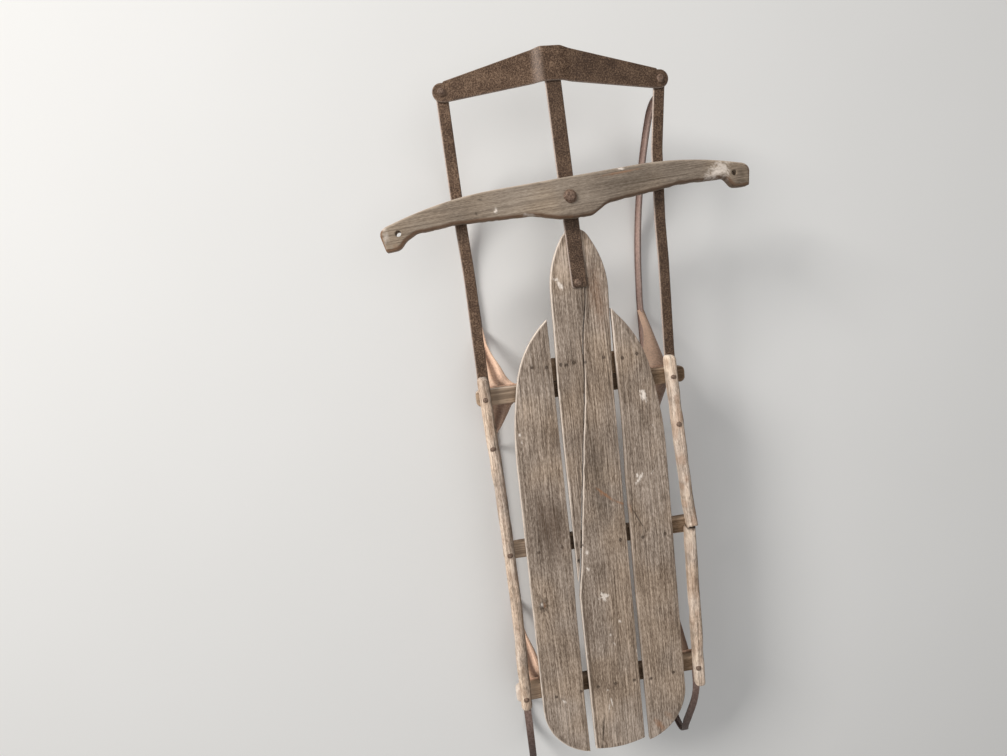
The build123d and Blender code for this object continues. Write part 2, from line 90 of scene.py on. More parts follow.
# Where stations lie near each end of a piece, and where the even ones begin
END_STEPS = np.array([0.0, 0.15, 0.4, 0.8, 1.3, 2.0, 2.8, 3.8, 5.0, 6.5, 8.5, 11.0, 14.0])
END_REACH = 17.0


def stations(start, end, step):
    """Places along a piece: END_STEPS in from both ends, and even steps between."""
    inner = np.linspace(start + END_REACH, end - END_REACH, max(2, int((end - start - 2 * END_REACH) / step)))
    return np.concatenate([start + END_STEPS, inner, (end - END_STEPS)[::-1]])


def made(name, body, slot, points, faces, tints, nodes):
    """A finished piece from points in millimetres and faces: doubles merged, faces outward, smooth but for corners."""
    mesh = bpy.data.meshes.new(name)
    mesh.from_pydata((points * MM).tolist(), [], faces)
    for tint, values in tints.items():
        layer = mesh.attributes.new(tint, "FLOAT", "POINT")
        layer.data.foreach_set("value", values.astype(np.float32))
    skin = bmesh.new()
    skin.from_mesh(mesh)
    bmesh.ops.remove_doubles(skin, verts=skin.verts, dist=1e-6)
    bmesh.ops.recalc_face_normals(skin, faces=skin.faces)
    skin.to_mesh(mesh)
    skin.free()
    mesh.polygons.foreach_set("use_smooth", [True] * len(mesh.polygons))
    mesh.set_sharp_from_angle(angle=0.8)
    mesh.update()
    piece = bpy.data.objects.new(name, mesh)
    bpy.context.scene.collection.objects.link(piece)
    if body:
        piece.data.materials.append(finishes[slot])
        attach(piece, body)
    if nodes:
        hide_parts(*nodes)
    return piece


def ring_faces(count, around, first):
    """Quads between rings of points that follow each other, and a flat face on the first and on the last ring."""
    corner = np.arange((count - 1) * around).reshape(count - 1, around) + first
    beside = np.roll(corner, -1, axis=1)
    quads = np.stack([corner, beside, beside + around, corner + around], axis=-1).reshape(-1, 4)
    ends = [list(range(first, first + around))[::-1], list(range(first + (count - 1) * around, first + count * around))]
    return quads.tolist() + ends


def ringed(name, body, slot, tubes, nodes=()):
    """A finished piece of one or more closed tubes, each given by x, y and z of its rings, one row to a ring, and
    by its tints."""
    points, faces, tints = [], [], {}
    for x, y, z, values in tubes:
        rings = np.stack(np.broadcast_arrays(x, y, z), axis=-1)
        faces += ring_faces(*rings.shape[:2], sum(map(len, points)))
        points.append(rings.reshape(-1, 3))
        for tint, value in values.items():
            tints.setdefault(tint, []).append(np.broadcast_to(value, rings.shape[:2]).ravel())
    tints = {tint: np.concatenate(parts) for tint, parts in tints.items()}
    return made(name, body, slot, np.concatenate(points), faces, tints, nodes)


# Width of the tinted band along a plate's outline, and the inset given to its underside
EDGE_BAND, UNDER_INSET = 8.0, 9.0


def plate(along, low, high, base, thick, rim, across, relief=None, edge_steps=(0.0, 0.3, 0.8, 1.5, 2.4)):
    """Rings of a flat piece. At each place along it the top runs from the low edge to the high edge and falls by a
    quarter circle near the outline; the ring closes down both walls and back underneath. It gives back each point's
    places along and across, its height and its inset, which is how far it lies from the outline."""
    s = along[:, None]
    low, high = low[:, None], high[:, None]
    edge = np.array(edge_steps) / np.max(high - low)
    shares = np.concatenate([edge, np.linspace(edge[-1], 1 - edge[-1], across)[1:-1], (1 - edge)[::-1]])
    # Cosine of each edge's slope, so that distances are taken square to the edge
    lean_low = 1 / np.sqrt(1 + np.gradient(low[:, 0], along) ** 2)[:, None]
    lean_high = 1 / np.sqrt(1 + np.gradient(high[:, 0], along) ** 2)[:, None]
    base = np.reshape(base, (-1, 1))

    def depth(t):
        """Distance from the nearest edge or end."""
        beside = np.minimum((t - low) * lean_low, (high - t) * lean_high)
        return np.maximum(np.minimum(beside, np.minimum(s - along[0], along[-1] - s)), 0)

    t = low + shares * (high - low)
    inset = depth(t)
    top = base + thick - quarter(inset, rim)
    if relief:
        top = top + relief(s + 0 * t, t) * np.clip(inset / 1.5, 0, 1)
    t_under = high - np.linspace(0, 1, 9) * (high - low)
    under = base + quarter(depth(t_under), min(rim, thick / 3))
    t_ring = np.concatenate([t, t_under], axis=1)
    z_ring = np.concatenate([top, under], axis=1)
    inset_ring = np.concatenate([inset, np.full_like(t_under, UNDER_INSET)], axis=1)
    return s + 0 * t_ring, t_ring, z_ring, inset_ring


# Camera and light

FRAME_WIDTH, FRAME_HEIGHT = 1007, 756
FOCAL_PIXELS = 558.48
CENTRE_PIXEL = (545.5, 401.0)
EYE_MM = (225.5, 173.6, 1088.9)
RIGHT = (-0.10883325, -0.98609123, 0.12561614)
DOWN = (-0.98326928, 0.12535772, 0.13216262)
AHEAD = (-0.14607135, -0.10913081, -0.9832363)


def place_camera():
    """The photograph's own camera: its lens in pixels, its middle off the frame's middle, and its three axes."""
    lens = bpy.data.cameras.new("photo_camera")
    lens.sensor_width = 36.0
    lens.lens = FOCAL_PIXELS / FRAME_WIDTH * lens.sensor_width
    lens.shift_x = (FRAME_WIDTH / 2 - CENTRE_PIXEL[0]) / FRAME_WIDTH
    lens.shift_y = (CENTRE_PIXEL[1] - FRAME_HEIGHT / 2) / FRAME_WIDTH
    lens.clip_start = 0.05
    camera = bpy.data.objects.new("photo_camera", lens)
    turn = Matrix([RIGHT, [-part for part in DOWN], [-part for part in AHEAD]]).transposed()
    camera.matrix_world = Matrix.Translation([part * MM for part in EYE_MM]) @ turn.to_4x4()
    bpy.context.scene.collection.objects.link(camera)
    bpy.context.scene.camera = camera


place_camera()


def lamp(name, place, aim, size, watts, tone=(1.0, 1.0, 1.0)):
    """A square soft lamp that looks from its place towards its aim."""
    light = bpy.data.lights.new(name, "AREA")
    light.size = size
    light.energy = watts
    light.color = tone
    holder = bpy.data.objects.new(name, light)
    away = Vector(place) - Vector(aim)
    holder.matrix_world = Matrix.Translation(place) @ away.to_track_quat("Z", "Y").to_matrix().to_4x4()
    bpy.context.scene.collection.objects.link(holder)


lamp("window", (2.4, 3.1, 2.4), (0.0, 0.0, 0.1), 1.5, 160.0, (1.0, 0.98, 0.95))
lamp("ceiling", (0.3, -0.2, 3.0), (0.0, 0.0, 0.1), 2.4, 26.0)
world = bpy.data.worlds.new("room")
bpy.context.scene.world = world
world.use_nodes = True
air = world.node_tree.nodes["Background"].inputs
air["Color"].default_value = (1.0, 1.0, 1.0, 1.0)
air["Strength"].default_value = 0.22
bpy.context.scene.view_settings.view_transform = "Standard"


# Shader maths

class Signal:
    """A shader socket in arithmetic: each sign adds the Math node that does it."""

    def __init__(self, finish, socket):
        self.finish = finish
        self.socket = socket

    def calculate(self, operation, *terms):
        """A Math node on sockets or numbers."""
        return self.finish.add("ShaderNodeMath", {"operation": operation}, dict(enumerate(terms)))

    def __add__(self, other):
        return self.calculate("ADD", self, other)

    def __sub__(self, other):
        return self.calculate("SUBTRACT", self, other)

    def __rsub__(self, other):
        return self.calculate("SUBTRACT", other, self)

    def __mul__(self, other):
        return self.calculate("MULTIPLY", self, other)

    __radd__ = __add__
    __rmul__ = __mul__

    def step(self, low, high):
        """0 below low and 1 above high, smooth between."""
        settings = {"interpolation_type": "SMOOTHSTEP"}
        return self.finish.add("ShaderNodeMapRange", settings, {"Value": self, "From Min": low, "From Max": high})


class Finish:
    """A material being built, with one method that adds any node."""

    def __init__(self, name):
        self.material = bpy.data.materials.new(name)
        self.material.use_nodes = True
        self.tree = self.material.node_tree
        self.shader = self.tree.nodes["Principled BSDF"]
        self.place = self.add("ShaderNodeTexCoord", {}, {}, "Object")

    def add(self, kind, settings, values, output=0):
        """Adds a node, sets its settings, then its sockets' values or links, and returns one output."""
        node = self.tree.nodes.new(kind)
        for key, value in settings.items():
            if key == "stops":
                self.set_stops(node.color_ramp, value)
            else:
                setattr(node, key, value)
        for key, value in values.items():
            self.feed(node.inputs[key], value)
        return Signal(self, node.outputs[output])

    def set_stops(self, ramp, stops):
        """Gives a ramp its stops."""
        while len(ramp.elements) < len(stops):
            ramp.elements.new(1.0)
        for element, (position, tone) in zip(ramp.elements, stops):
            element.position = position
            element.color = (*tone, 1.0)

    def feed(self, socket, value):
        """Links a socket, or sets its number or colour."""
        if isinstance(value, Signal):
            self.tree.links.new(value.socket, socket)
        elif isinstance(value, tuple) and len(value) == 3 and socket.type == "RGBA":
            socket.default_value = (*value, 1.0)
        else:
            socket.default_value = value

    def axes(self):
        """The piece's own coordinates, one by one."""
        split = self.add("ShaderNodeSeparateXYZ", {}, {"Vector": self.place})
        return [Signal(self, output) for output in split.socket.node.outputs]

    def point(self, x, y, z):
        """A place from its three coordinates."""
        return self.add("ShaderNodeCombineXYZ", {}, {"X": x, "Y": y, "Z": z})

    def tint(self, name):
        """A value that a piece carries on its points, 0 where it has none."""
        return self.add("ShaderNodeAttribute", {"attribute_name": name}, {}, "Fac")

    def noise(self, where, scale, detail=3.0, roughness=0.55):
        """Blender's own noise, about 0.5 on average."""
        values = {"Vector": where, "Scale": scale, "Detail": detail, "Roughness": roughness}
        return self.add("ShaderNodeTexNoise", {}, values, "Fac")

    def blend(self, amount, first, second, how="MIX"):
        """The first colour turning to the second with the amount."""
        settings = {"data_type": "RGBA", "blend_type": how}
        return self.add("ShaderNodeMix", settings, {0: amount, 6: first, 7: second}, 2)

    def ramp(self, amount, stops):
        """A colour for each amount, from a few stops."""
        return self.add("ShaderNodeValToRGB", {"stops": stops}, {"Fac": amount})

    def bump(self, height, strength, reach):
        """A normal tilted by a height, whose full depth is the reach in metres."""
        values = {"Height": height, "Strength": strength, "Distance": reach}
        return self.add("ShaderNodeBump", {}, values)

    def close(self, colour, roughness, normal=None, metallic=0.0, specular=0.35):
        """Feeds the shader and gives the material back."""
        self.feed(self.shader.inputs["Base Color"], colour)
        self.feed(self.shader.inputs["Roughness"], roughness)
        self.feed(self.shader.inputs["Metallic"], metallic)
        self.feed(self.shader.inputs["Specular IOR Level"], specular)
        if normal is not None:
            self.feed(self.shader.inputs["Normal"], normal)
        return self.material


# Finishes

def worn_wood(name, dark, middle, pale, along, fine, contrast):
    """Bare weathered wood. Its level is a sum of noises drawn out along the grain: fibres, streaks, bands and patches,
    their sizes in waves per metre. The pieces' tints lay on it the furrows, pale worn edges with painted highlights,
    stains with painted shade, rust, and flecks of old paint with pale painted lines; on some pieces the pale tint is
    painted light."""
    finish = Finish(name)
    x, y, z = finish.axes()
    sway = finish.tint("sway")
    lengthways, crossways = (x, y + sway) if along == "X" else (y, x + sway)
    fibre = finish.noise(finish.point(lengthways * 150.0, crossways * 700.0 * fine, z * 700.0), 1.0, 3.0, 0.7)
    streak = finish.noise(finish.point(lengthways * 15.0, crossways * 360.0 * fine, z * 360.0), 1.0, 3.0, 0.6)
    band = finish.noise(finish.point(lengthways * 3.0, crossways * 62.0, z * 62.0), 1.0, 2.0)
    patch = finish.noise(finish.place, 10.0, 4.0, 0.6)
    warm = finish.noise(finish.place, 6.0, 2.0).step(0.42, 0.6)
    speck = finish.noise(finish.place, 420.0, 2.0, 0.6)
    furrow, wear, stain = finish.tint("furrow"), finish.tint("wear"), finish.tint("stain")
    rust, paint = finish.tint("rust"), finish.tint("paint")
    level = (fibre * 0.5 + streak * 0.4 + band * 0.12 + patch * 0.22 - 0.62) * contrast + 0.5
    level = level + finish.tint("pale") * 0.07
    colour = finish.ramp(level, [(0.34, dark), (0.5, middle), (0.68, pale)])
    tinge = finish.blend(warm, (0.99, 1.0, 1.02), (1.03, 0.995, 0.95))
    colour = finish.blend(1.0, colour, tinge, "MULTIPLY")
    colour = finish.blend(furrow * 0.55, colour, tuple(part * 0.8 for part in dark))
    # The wear tint pales rubbed edges and paints highlights, the stain tint darkens stains and paints shade, and the
    # paint tint lays flecks of old paint and pale painted lines.
    colour = finish.blend(wear * (0.25 + speck * 0.75), colour, tuple(min(part * 1.35, 0.9) for part in pale))
    colour = finish.blend(stain * 0.8, colour, tuple(part * 0.32 for part in dark))
    colour = finish.blend(rust * (0.25 + streak * 0.8), colour, (0.36, 0.17, 0.08))
    colour = finish.blend(paint * (0.35 + fibre), colour, (0.92, 0.82, 0.73))
    height = fibre * 0.5 + streak * 0.8 - furrow * 0.2 + paint * 0.3 - stain * 0.4
    rough = 0.86 - 0.12 * band - 0.1 * paint
    return finish.close(colour, rough, finish.bump(height, 0.55, 0.0008), specular=0.18)


def rusty_steel(name, dark, middle, pale, pits_per_metre, edge):
    """Brown rusted steel: a mottled skin with fine dark pits and paler specks, rubbed edges and painted highlights, and
    darkening for grime and painted shade.
    """
    finish = Finish(name)
    mottle = finish.noise(finish.place, 38.0, 4.0, 0.65)
    pits = finish.noise(finish.place, pits_per_metre, 3.0, 0.7)
    cells = {"Vector": finish.place, "Scale": pits_per_metre * 0.8}
    holes = finish.add("ShaderNodeTexVoronoi", {}, cells, "Distance")
    level = mottle * 0.3 + pits * 0.6 + holes * 0.2 - 0.02
    colour = finish.ramp(level, [(0.38, dark), (0.52, middle), (0.68, pale)])
    # The grime tint darkens for grime and for painted shade, and the wear tint pales rubbed edges and paints
    # highlights.
    colour = finish.blend(finish.tint("grime") * 0.8, colour, tuple(part * 0.3 for part in dark))
    wear = finish.tint("wear")
    colour = finish.blend(wear * (0.35 + pits * 0.8), colour, edge)
    normal = finish.bump(pits * 0.8 + mottle * 0.2 + holes * 0.4, 0.5, 0.0009)
    return finish.close(colour, 0.66 - 0.2 * mottle - 0.12 * wear, normal, metallic=0.1)


# Dark, middle and pale colour of each wood, the axis that its grain follows, its fineness and its contrast
woods = {
    "deck_wood": ((0.145, 0.104, 0.074), (0.325, 0.253, 0.197), (0.59, 0.48, 0.39), "X", 1.0, 1.5),
    "bench_wood": ((0.1, 0.062, 0.036), (0.2, 0.134, 0.083), (0.38, 0.28, 0.2), "Y", 0.8, 0.9),
    "rail_wood": ((0.235, 0.17, 0.125), (0.62, 0.48, 0.375), (0.93, 0.785, 0.65), "X", 1.2, 1.5),
    "bar_wood": ((0.14, 0.104, 0.076), (0.285, 0.226, 0.172), (0.44, 0.36, 0.285), "Y", 1.6, 1.15),
}
# Dark, middle and pale colour of each steel, its pits per metre and the colour of its rubbed edges and painted
# highlights
steels = {
    "strap_steel": ((0.03, 0.014, 0.007), (0.1, 0.055, 0.031), (0.28, 0.18, 0.115), 520.0, (0.7, 0.57, 0.49)),
    "runner_steel": ((0.16, 0.095, 0.075), (0.32, 0.215, 0.18), (0.5, 0.36, 0.31), 300.0, (0.72, 0.53, 0.46)),
    "knee_steel": ((0.34, 0.185, 0.12), (0.61, 0.39, 0.275), (0.81, 0.55, 0.4), 300.0, (0.98, 0.68, 0.5)),
    "bolt_steel": ((0.06, 0.035, 0.023), (0.15, 0.093, 0.065), (0.29, 0.195, 0.14), 420.0, (0.3, 0.22, 0.16)),
}
finishes = {name: worn_wood(name, *look) for name, look in woods.items()}
finishes.update({name: rusty_steel(name, *look) for name, look in steels.items()})
for part in frame["record"]["subparts"]:
    shown = frame["nodes"][part["node"]]
    shown.data.materials.clear()
    shown.data.materials.append(finishes[part["material_slot"]])


# The small pit beside the long split of the centre board
PIT_X, PIT_Y = -204.0, 42.8
# Marks of paint, rust, stain and paler tone, laid on the top faces and seen from above: x, y, half length, half width,
# turn in degrees, strength
marks = {
    "paint": [
        (-277.7, 5, 9, 2.6, 20, 1.5), (-277.7, 5, 8.5, 2.4, 100, 1.5), (-275, 3.5, 7.5, 2.4, 60, 1.4),
        (-69.4, -78.9, 10, 2.2, -38, 1.3), (-63, -75, 3, 2, 0, 1), (-190, 27.5, 3.4, 2.4, 0, 1.1),
        (-220.3, 28.6, 4.4, 1.8, 50, 0.9), (75.2, -98.6, 8, 4.5, 10, 1), (83, -97, 4, 2.5, 60, 0.8),
        (276.3, 26, 7, 3.4, 30, 0.75), (286, 33, 5, 1.6, 80, 0.6), (36, 120.4, 3, 1.8, 0, 0.9),
        (22, 119, 2, 1.2, 0, 0.7), (-459.5, 14.9, 3, 1.2, 80, 0.5), (-486, 10, 9, 1.3, 5, 0.6),
        (-494, 15, 7, 1.1, -12, 0.6), (-372, -6, 3.2, 1.8, 20, 0.6), (-352, 0, 2.6, 1.6, 0, 0.55),
        (-330, -20, 3.2, 2.2, 0, 0.5), (-400, -46, 12, 1, 5, 0.5), (-60, -104, 4, 0.9, -40, 0.6),
        (-466, 97, 5, 2, 30, 0.55), (20, -112, 5, 1.2, 30, 0.3), (-273, 117.5, 5, 3.4, 0, 0.45),
        (427.5, -243, 22, 10, -58, 0.44), (431, -252, 13, 9, 30, 0.42), (437, -247, 8, 4, 60, 0.4),
        (396.8, 118.3, 6, 2, -10, 0.9), (443.5, -85.1, 4.4, 2.4, 90, 0.6), (372, 289, 12, 4, -10, 0.25),
        (386, 291, 6, 3, 10, 0.2), (437.3, 52.5, 14, 2.6, 95, 0.4), (386, 66.1, 12, 2.4, 85, 0.4),
    ],
    "rust": [
        (-89, -15, 19, 2.4, 46, 1.9), (-109, -43, 18, 1.8, 63, 1.4), (-86, -8, 6, 2.6, 20, 0.7),
        (-550.4, -76.9, 18, 7, 30, 0.85), (-534, -96, 12, 6, 40, 0.4), (-274.7, 113, 6.5, 4.5, 10, 0.6),
        (250, -34, 60, 15, 5, 0.35), (-120, -58, 12, 3, 10, 0.35), (-130, 86, 80, 34, 6, 0.12),
        (438, -84, 34, 2, 96, 0.8), (352, 275, 9, 5, 10, 0.5),
    ],
    "stain": [
        (-276, 116, 13, 9, 0, 1.3), (-277, 105, 4, 2.5, 60, 0.6), (PIT_X, PIT_Y, 4.4, 3, 0, 1.6),
        (-172.9, 43.6, 5, 2.2, 0, 1), (-138, 92, 76, 30, 6, 0.85), (-122, 74, 60, 15, 5, 0.85),
        (-190, 68, 30, 12, 10, 0.35), (-60, -6, 110, 26, 4, 0.6), (-141, -70, 27, 1.4, 25, 1.3),
        (-110, -60, 10, 1, -25, 0.8), (-150, -66, 8, 1, -40, 0.7), (-290, 74, 16, 0.9, -48, 0.55),
        (-260, 60, 18, 0.9, 20, 0.5), (-541, 31, 40, 1.7, -8.3, 1.7), (232, -10, 18, 12, 0, 0.35),
        (290, -28, 38, 9, -14, 0.65), (-330, 24, 6, 2, 0, 0.5), (-462, 100, 5, 2, 30, 0.7),
        (411, -284, 20, 16, 0, 0.45), (424, -110, 90, 26, 95, 0.45), (430, -180, 60, 22, 90, 0.3),
        (395, 148.4, 3.4, 2.4, 0, 1.2), (414.7, 140.5, 4, 1.4, 80, 0.8), (441, -85, 2, 1.2, 0, 1),
        (404, -150, 60, 14, 96, 0.3), (380, -70, 30, 10, 96, 0.4), (418, -284, 9, 8, 0, 0.6),
    ],
    "pale": [
        (-480, 95, 110, 48, 5, 0.6), (300, 22, 70, 20, -10, 1), (330, 0, 40, 30, 0, 0.8), (215, 20, 70, 22, 0, 0.35),
        (120, -90, 90, 30, 20, 0.4), (-450, -100, 90, 34, -5, 0.35), (60, 105, 90, 20, 5, 0.3),
        (405, 70, 90, 30, 95, 1), (392, 200, 60, 14, 100, 0.25),
    ],
}


def marked(x, y):
    """Each kind of mark as values from 0 to 1: ellipses whose distance noise makes ragged, each laid over the others
    of its kind. Paint is the most ragged and the fullest."""
    ragged = lattice(x / 1.7, y / 1.7, 90) - 0.5 + 0.6 * (lattice(x / 4.0, y / 4.0, 91) - 0.5)
    found = {}
    for kind, ellipses in marks.items():
        rough, gain = (1.0, 2.0) if kind == "paint" else (0.5, 1.0)
        found[kind] = np.zeros_like(x)
        for mark_x, mark_y, length, width, turn, strength in ellipses:
            angle = np.radians(turn)
            ahead = (x - mark_x) * np.cos(angle) + (y - mark_y) * np.sin(angle)
            beside = (y - mark_y) * np.cos(angle) - (x - mark_x) * np.sin(angle)
            away = np.hypot(ahead / length, beside / width)
            value = near(away + rough * ragged, 1.35) * strength * gain
            found[kind] = np.maximum(found[kind], np.clip(value, 0, 1))
    return found


# Nails of the deck: x of each row, and the y of its nails. Each nail stands a little off its row.
nail_rows = [
    (146.5, (86.7, 62.5, 38.4, 28.5, 15.7, -3.0, -36.2, -68.0, -93.8)),
    (-176.0, (111.8, 69.5, 34.0, -35.2, -75.9, -117.0)),
    (-452.0, (110.2, 64.0, 31.9, -0.8, -36.3, -68.4, -111.6)),
]
nails = np.array([(x + 3.0 * np.sin(5.0 * y), y) for x, row in nail_rows for y in row])


def nail_marks(x, y):
    """1 at each nail and 0 a few millimetres away from it."""
    value = np.zeros_like(x)
    for nail_x, nail_y in nails:
        value = np.maximum(value, near(np.hypot(x - nail_x, y - nail_y), 5.0))
    return value


# Deck boards

BENCH_TOP, DECK_TOP, BOARD_THICK, STEEL = 152.0, 164.0, 12.0, 3.5
FINE_STEP = 2.2
KNOT_X, KNOT_Y = -274.7, 115.5


def grain(x, y, seed):
    """Where each point lies across the grain, and how deep the worn furrow is there. The grain wanders slowly
    along the board and swells round the knot; the furrows are long narrow hollows of two widths."""
    knot = np.hypot((x - KNOT_X) / 34.0, (y - KNOT_Y) / 9.0)
    flow = y + 7.0 * (lattice(x / 230.0, y / 70.0, seed) - 0.5) + np.sign(y - KNOT_Y) * 5.0 * near(knot, 1.6)
    broad = lattice(x / 85.0, flow / 2.3, seed + 1)
    narrow = lattice(x / 48.0, flow / 1.15, seed + 2)
    furrow = np.clip((0.52 - 0.62 * broad - 0.38 * narrow) / 0.26, 0, 1)
    return flow, furrow


def board(name, seed, along, low, high, nodes, edge_wear_and_highlight=1.0, rise=None, rear=None):
    """A deck board: a plate with worn edges, furrows along its grain, nail hollows and the marks of age, with a painted
    highlight along its left edge. The wear and painted highlight of its edges may differ along it, its face may rise or
    sink, and its rear end may be sawn on a curve."""
    low = low + 0.5 * (lattice(along / 30.0, along * 0 + 3.3, seed + 5) - 0.5)
    high = np.maximum(high - 0.5 * (lattice(along / 24.0, along * 0 + 7.7, seed + 6) - 0.5), low + 0.02)

    def relief(s, t):
        """A slow cup, less the furrows, the nails' hollows and the pit, and with what the board itself rises."""
        hollow = nail_marks(s, t) * 0.9 + 3.5 * near(np.hypot(s - PIT_X, t - PIT_Y), 4.0)
        cup = 0.5 * (lattice(s / 120.0, t / 50.0, seed + 9) - 0.5)
        return cup - 0.7 * grain(s, t, seed)[1] - hollow + (rise(s, t) if rise else 0.0)

    x, y, z, inset = plate(along, low, high, BENCH_TOP, BOARD_THICK, rim=1.9, relief=relief, across=84)
    flow, furrow = grain(x, y, seed)
    at_edge = inset < EDGE_BAND
    from_high = high[:, None] - y
    ragged = inset + 1.2 * (lattice(x / 9.0, y / 9.0, seed + 7) - 0.5)
    worn = np.reshape(edge_wear_and_highlight, (-1, 1))
    found = marked(x, y)
    found["stain"] = np.clip(np.maximum(found["stain"], nail_marks(x, y) * 3.2 - 0.7), 0, 1)
    # Edge wear and a painted highlight: the left edge is made much paler than the others, and a pale painted line, laid
    # with the paint tint, runs along it.
    found["wear"] = near(ragged, 3.4) * at_edge * np.where(from_high < 5.0, 1.0, 0.2) * worn
    found["paint"] = np.maximum(found["paint"], 0.7 * near(ragged, 2.8) * at_edge * (from_high < 4.0) * worn)
    found["sway"] = (flow - y) * MM
    found["furrow"] = furrow * at_edge
    shift = near(x - along[0], 60.0) * rear(y) if rear else 0.0
    ringed(name, "sled", "deck_wood", [(x + shift, y, z, found)], nodes)


def arc_through(x, start, heading, end):
    """Height of a circle's arc that leaves the start along its heading and passes the end, bending downwards. Its
    radius is the chord's square over twice the chord's part along the inward normal."""
    normal = (heading[1], -heading[0]) if heading[0] > 0 else (-heading[1], heading[0])
    chord = (end[0] - start[0], end[1] - start[1])
    radius = (chord[0] ** 2 + chord[1] ** 2) / (2 * (chord[0] * normal[0] + chord[1] * normal[1]))
    middle_x, middle_y = start[0] + normal[0] * radius, start[1] + normal[1] * radius
    return middle_y + bulge(x - middle_x, radius)


SIDE_REAR_X, CORNER_X, LEFT_TIP_X, RIGHT_BLUNT_X, RIGHT_TIP_X = -577.0, -480.0, 222.0, 220.0, 230.0
BOW_START, BOW_END, BOW_END_HEADING = (-30.0, 132.0), (127.5, 114.06), (0.9744, -0.225)


def outer_edge(x, rear_outer, front_inner, rear_inner):
    """A side board's outer edge: a quarter-round rear corner, a long straight, a slow bow and a round point."""
    corner = arc_through(x, (CORNER_X, rear_outer), (-1.0, 0.0), (SIDE_REAR_X, rear_inner))
    body = np.interp(x, (CORNER_X, BOW_START[0]), (rear_outer, BOW_START[1]))
    bow = arc_through(x, BOW_START, (1.0, 0.0), BOW_END)
    point = arc_through(x, BOW_END, BOW_END_HEADING, (LEFT_TIP_X, front_inner))
    front = np.where(x < BOW_END[0], bow, point)
    return np.where(x < CORNER_X, corner, np.where(x < BOW_START[0], body, front))


side_x = stations(SIDE_REAR_X, LEFT_TIP_X, FINE_STEP)
left_inner = eased(side_x, (-577.0, -470.0, -274.0, -200.0, 222.0), (59.0, 59.2, 56.6, 53.8, 53.8), 20.0)
left_outer = np.maximum(outer_edge(side_x, 136.5, 55.0, 59.5), left_inner + 0.05)
board("side_board_left_worn", 11, side_x, left_inner, left_outer, ["side_board_left"])

side_x = stations(SIDE_REAR_X, RIGHT_TIP_X, FINE_STEP)
right_inner = -eased(
    side_x, (-577.0, -250.0, -60.0, 5.0, 73.0, 130.0, 230.0), (56.0, 54.8, 55.6, 58.0, 58.0, 55.9, 55.6), 20.0
)
blunt = np.interp(side_x, (RIGHT_BLUNT_X, 226.5, 229.0, RIGHT_TIP_X), (64.4, 59.5, 57.0, 55.0))
right_outer = -np.where(side_x > RIGHT_BLUNT_X, blunt, outer_edge(side_x, 132.0, 62.5, 56.0))
right_outer = np.minimum(right_outer, right_inner - 0.05)
board(
    "side_board_right_worn", 31, side_x, right_outer, right_inner, ["side_board_right"],
    edge_wear_and_highlight=1.0 - 0.75 * near(side_x - 85.0, 90.0),
)

# The long split of the centre board: x, y and half its width
split = np.array([
    (-300.0, 54.0, 1.9), (-268.0, 49.0, 1.9), (-220.0, 41.2, 1.6), (-129.0, 30.2, 1.2), (-22.0, 17.6, 1.0),
    (73.0, 5.4, 0.9), (124.0, 0.2, 0.9), (174.0, -2.6, 0.8), (199.0, -5.6, 0.8), (248.0, -14.0, 0.7),
    (280.0, -16.0, 0.4), (320.0, -10.0, 0.1), (380.0, -6.0, 0.1),
])


def split_line(x):
    """Middle of the split at each x, with the small waver of torn wood."""
    waver = (lattice(x / 13.0, x * 0 + 1.5, 71) - 0.5) * 1.6 * near(np.abs(x + 20.0), 300.0)
    return eased(x, split[:, 0], split[:, 1], 9.0) + waver


def split_wall(x, side):
    """Left wall of the split for side 1, right wall for side -1: half its width off its middle."""
    return split_line(x) + side * np.interp(x, split[:, 0], split[:, 2])


CENTRE_REAR_X, NECK_X, NOSE_START_X = -578.0, 264.0, 348.0
NOSE_X, NOSE_Y, NOSE_RADIUS, SHOULDER_RADIUS = 338.0, -6.0, 26.0, 156.3


def centre_edge(x, side, body, shoulder_y):
    """An edge of the centre board, on the left for side 1 and on the right for side -1: its body up to the neck,
    the shoulder's arc, whose middle lies at shoulder_y, and the nose's own arc to the tip."""
    shoulder = shoulder_y + side * bulge(x - NECK_X, SHOULDER_RADIUS)
    nose = NOSE_Y + side * bulge(x - NOSE_X, NOSE_RADIUS)
    return np.where(x < NECK_X, body, np.where(x < NOSE_START_X, shoulder, nose))


def centre_left(x):
    """Left edge of the centre board, which swells a little behind its neck."""
    body = np.interp(x, (CENTRE_REAR_X, 104.0, NECK_X), (46.5, 46.5, 42.5)) + 1.3 * near(x + 10.0, 220.0)
    return centre_edge(x, 1, body, -113.8)


def centre_right(x):
    """Right edge of the centre board."""
    body = np.interp(x, (CENTRE_REAR_X, 104.0, NECK_X), (-46.5, -48.0, -54.5))
    return centre_edge(x, -1, body, 101.8)


def centre_rear(y):
    """How far forward the sawn rear end of the centre board lies at each y, a flat curve."""
    return 0.002775 * y * y - 0.043 * y


centre_x = stations(CENTRE_REAR_X, NOSE_X + NOSE_RADIUS, FINE_STEP)
torn_edge = np.minimum(centre_left(centre_x), split_wall(centre_x, -1))
board(
    "centre_board_worn", 51, centre_x, centre_right(centre_x), torn_edge, ["centre_board"],
    edge_wear_and_highlight=np.clip((150.0 - centre_x) / 40.0, 0.2, 1),
    rise=lambda s, t: near(np.abs(split_line(s) - t), 22.0) * near(np.abs(s + 10.0), 300.0),
    rear=centre_rear,
)
sliver_x = stations(-246.0, 363.9, FINE_STEP)
sliver_low = np.minimum(split_wall(sliver_x, 1), centre_left(sliver_x) - 0.3)
board(
    "centre_board_split_off", 61, sliver_x, sliver_low, centre_left(sliver_x), [],
    rise=lambda s, t: -0.5 * near(np.abs(split_line(s) - t), 14.0) * near(np.abs(s + 60.0), 260.0),
    rear=centre_rear,
)


# Steering bar: s runs along it from the pivot to the left, t across it to the front

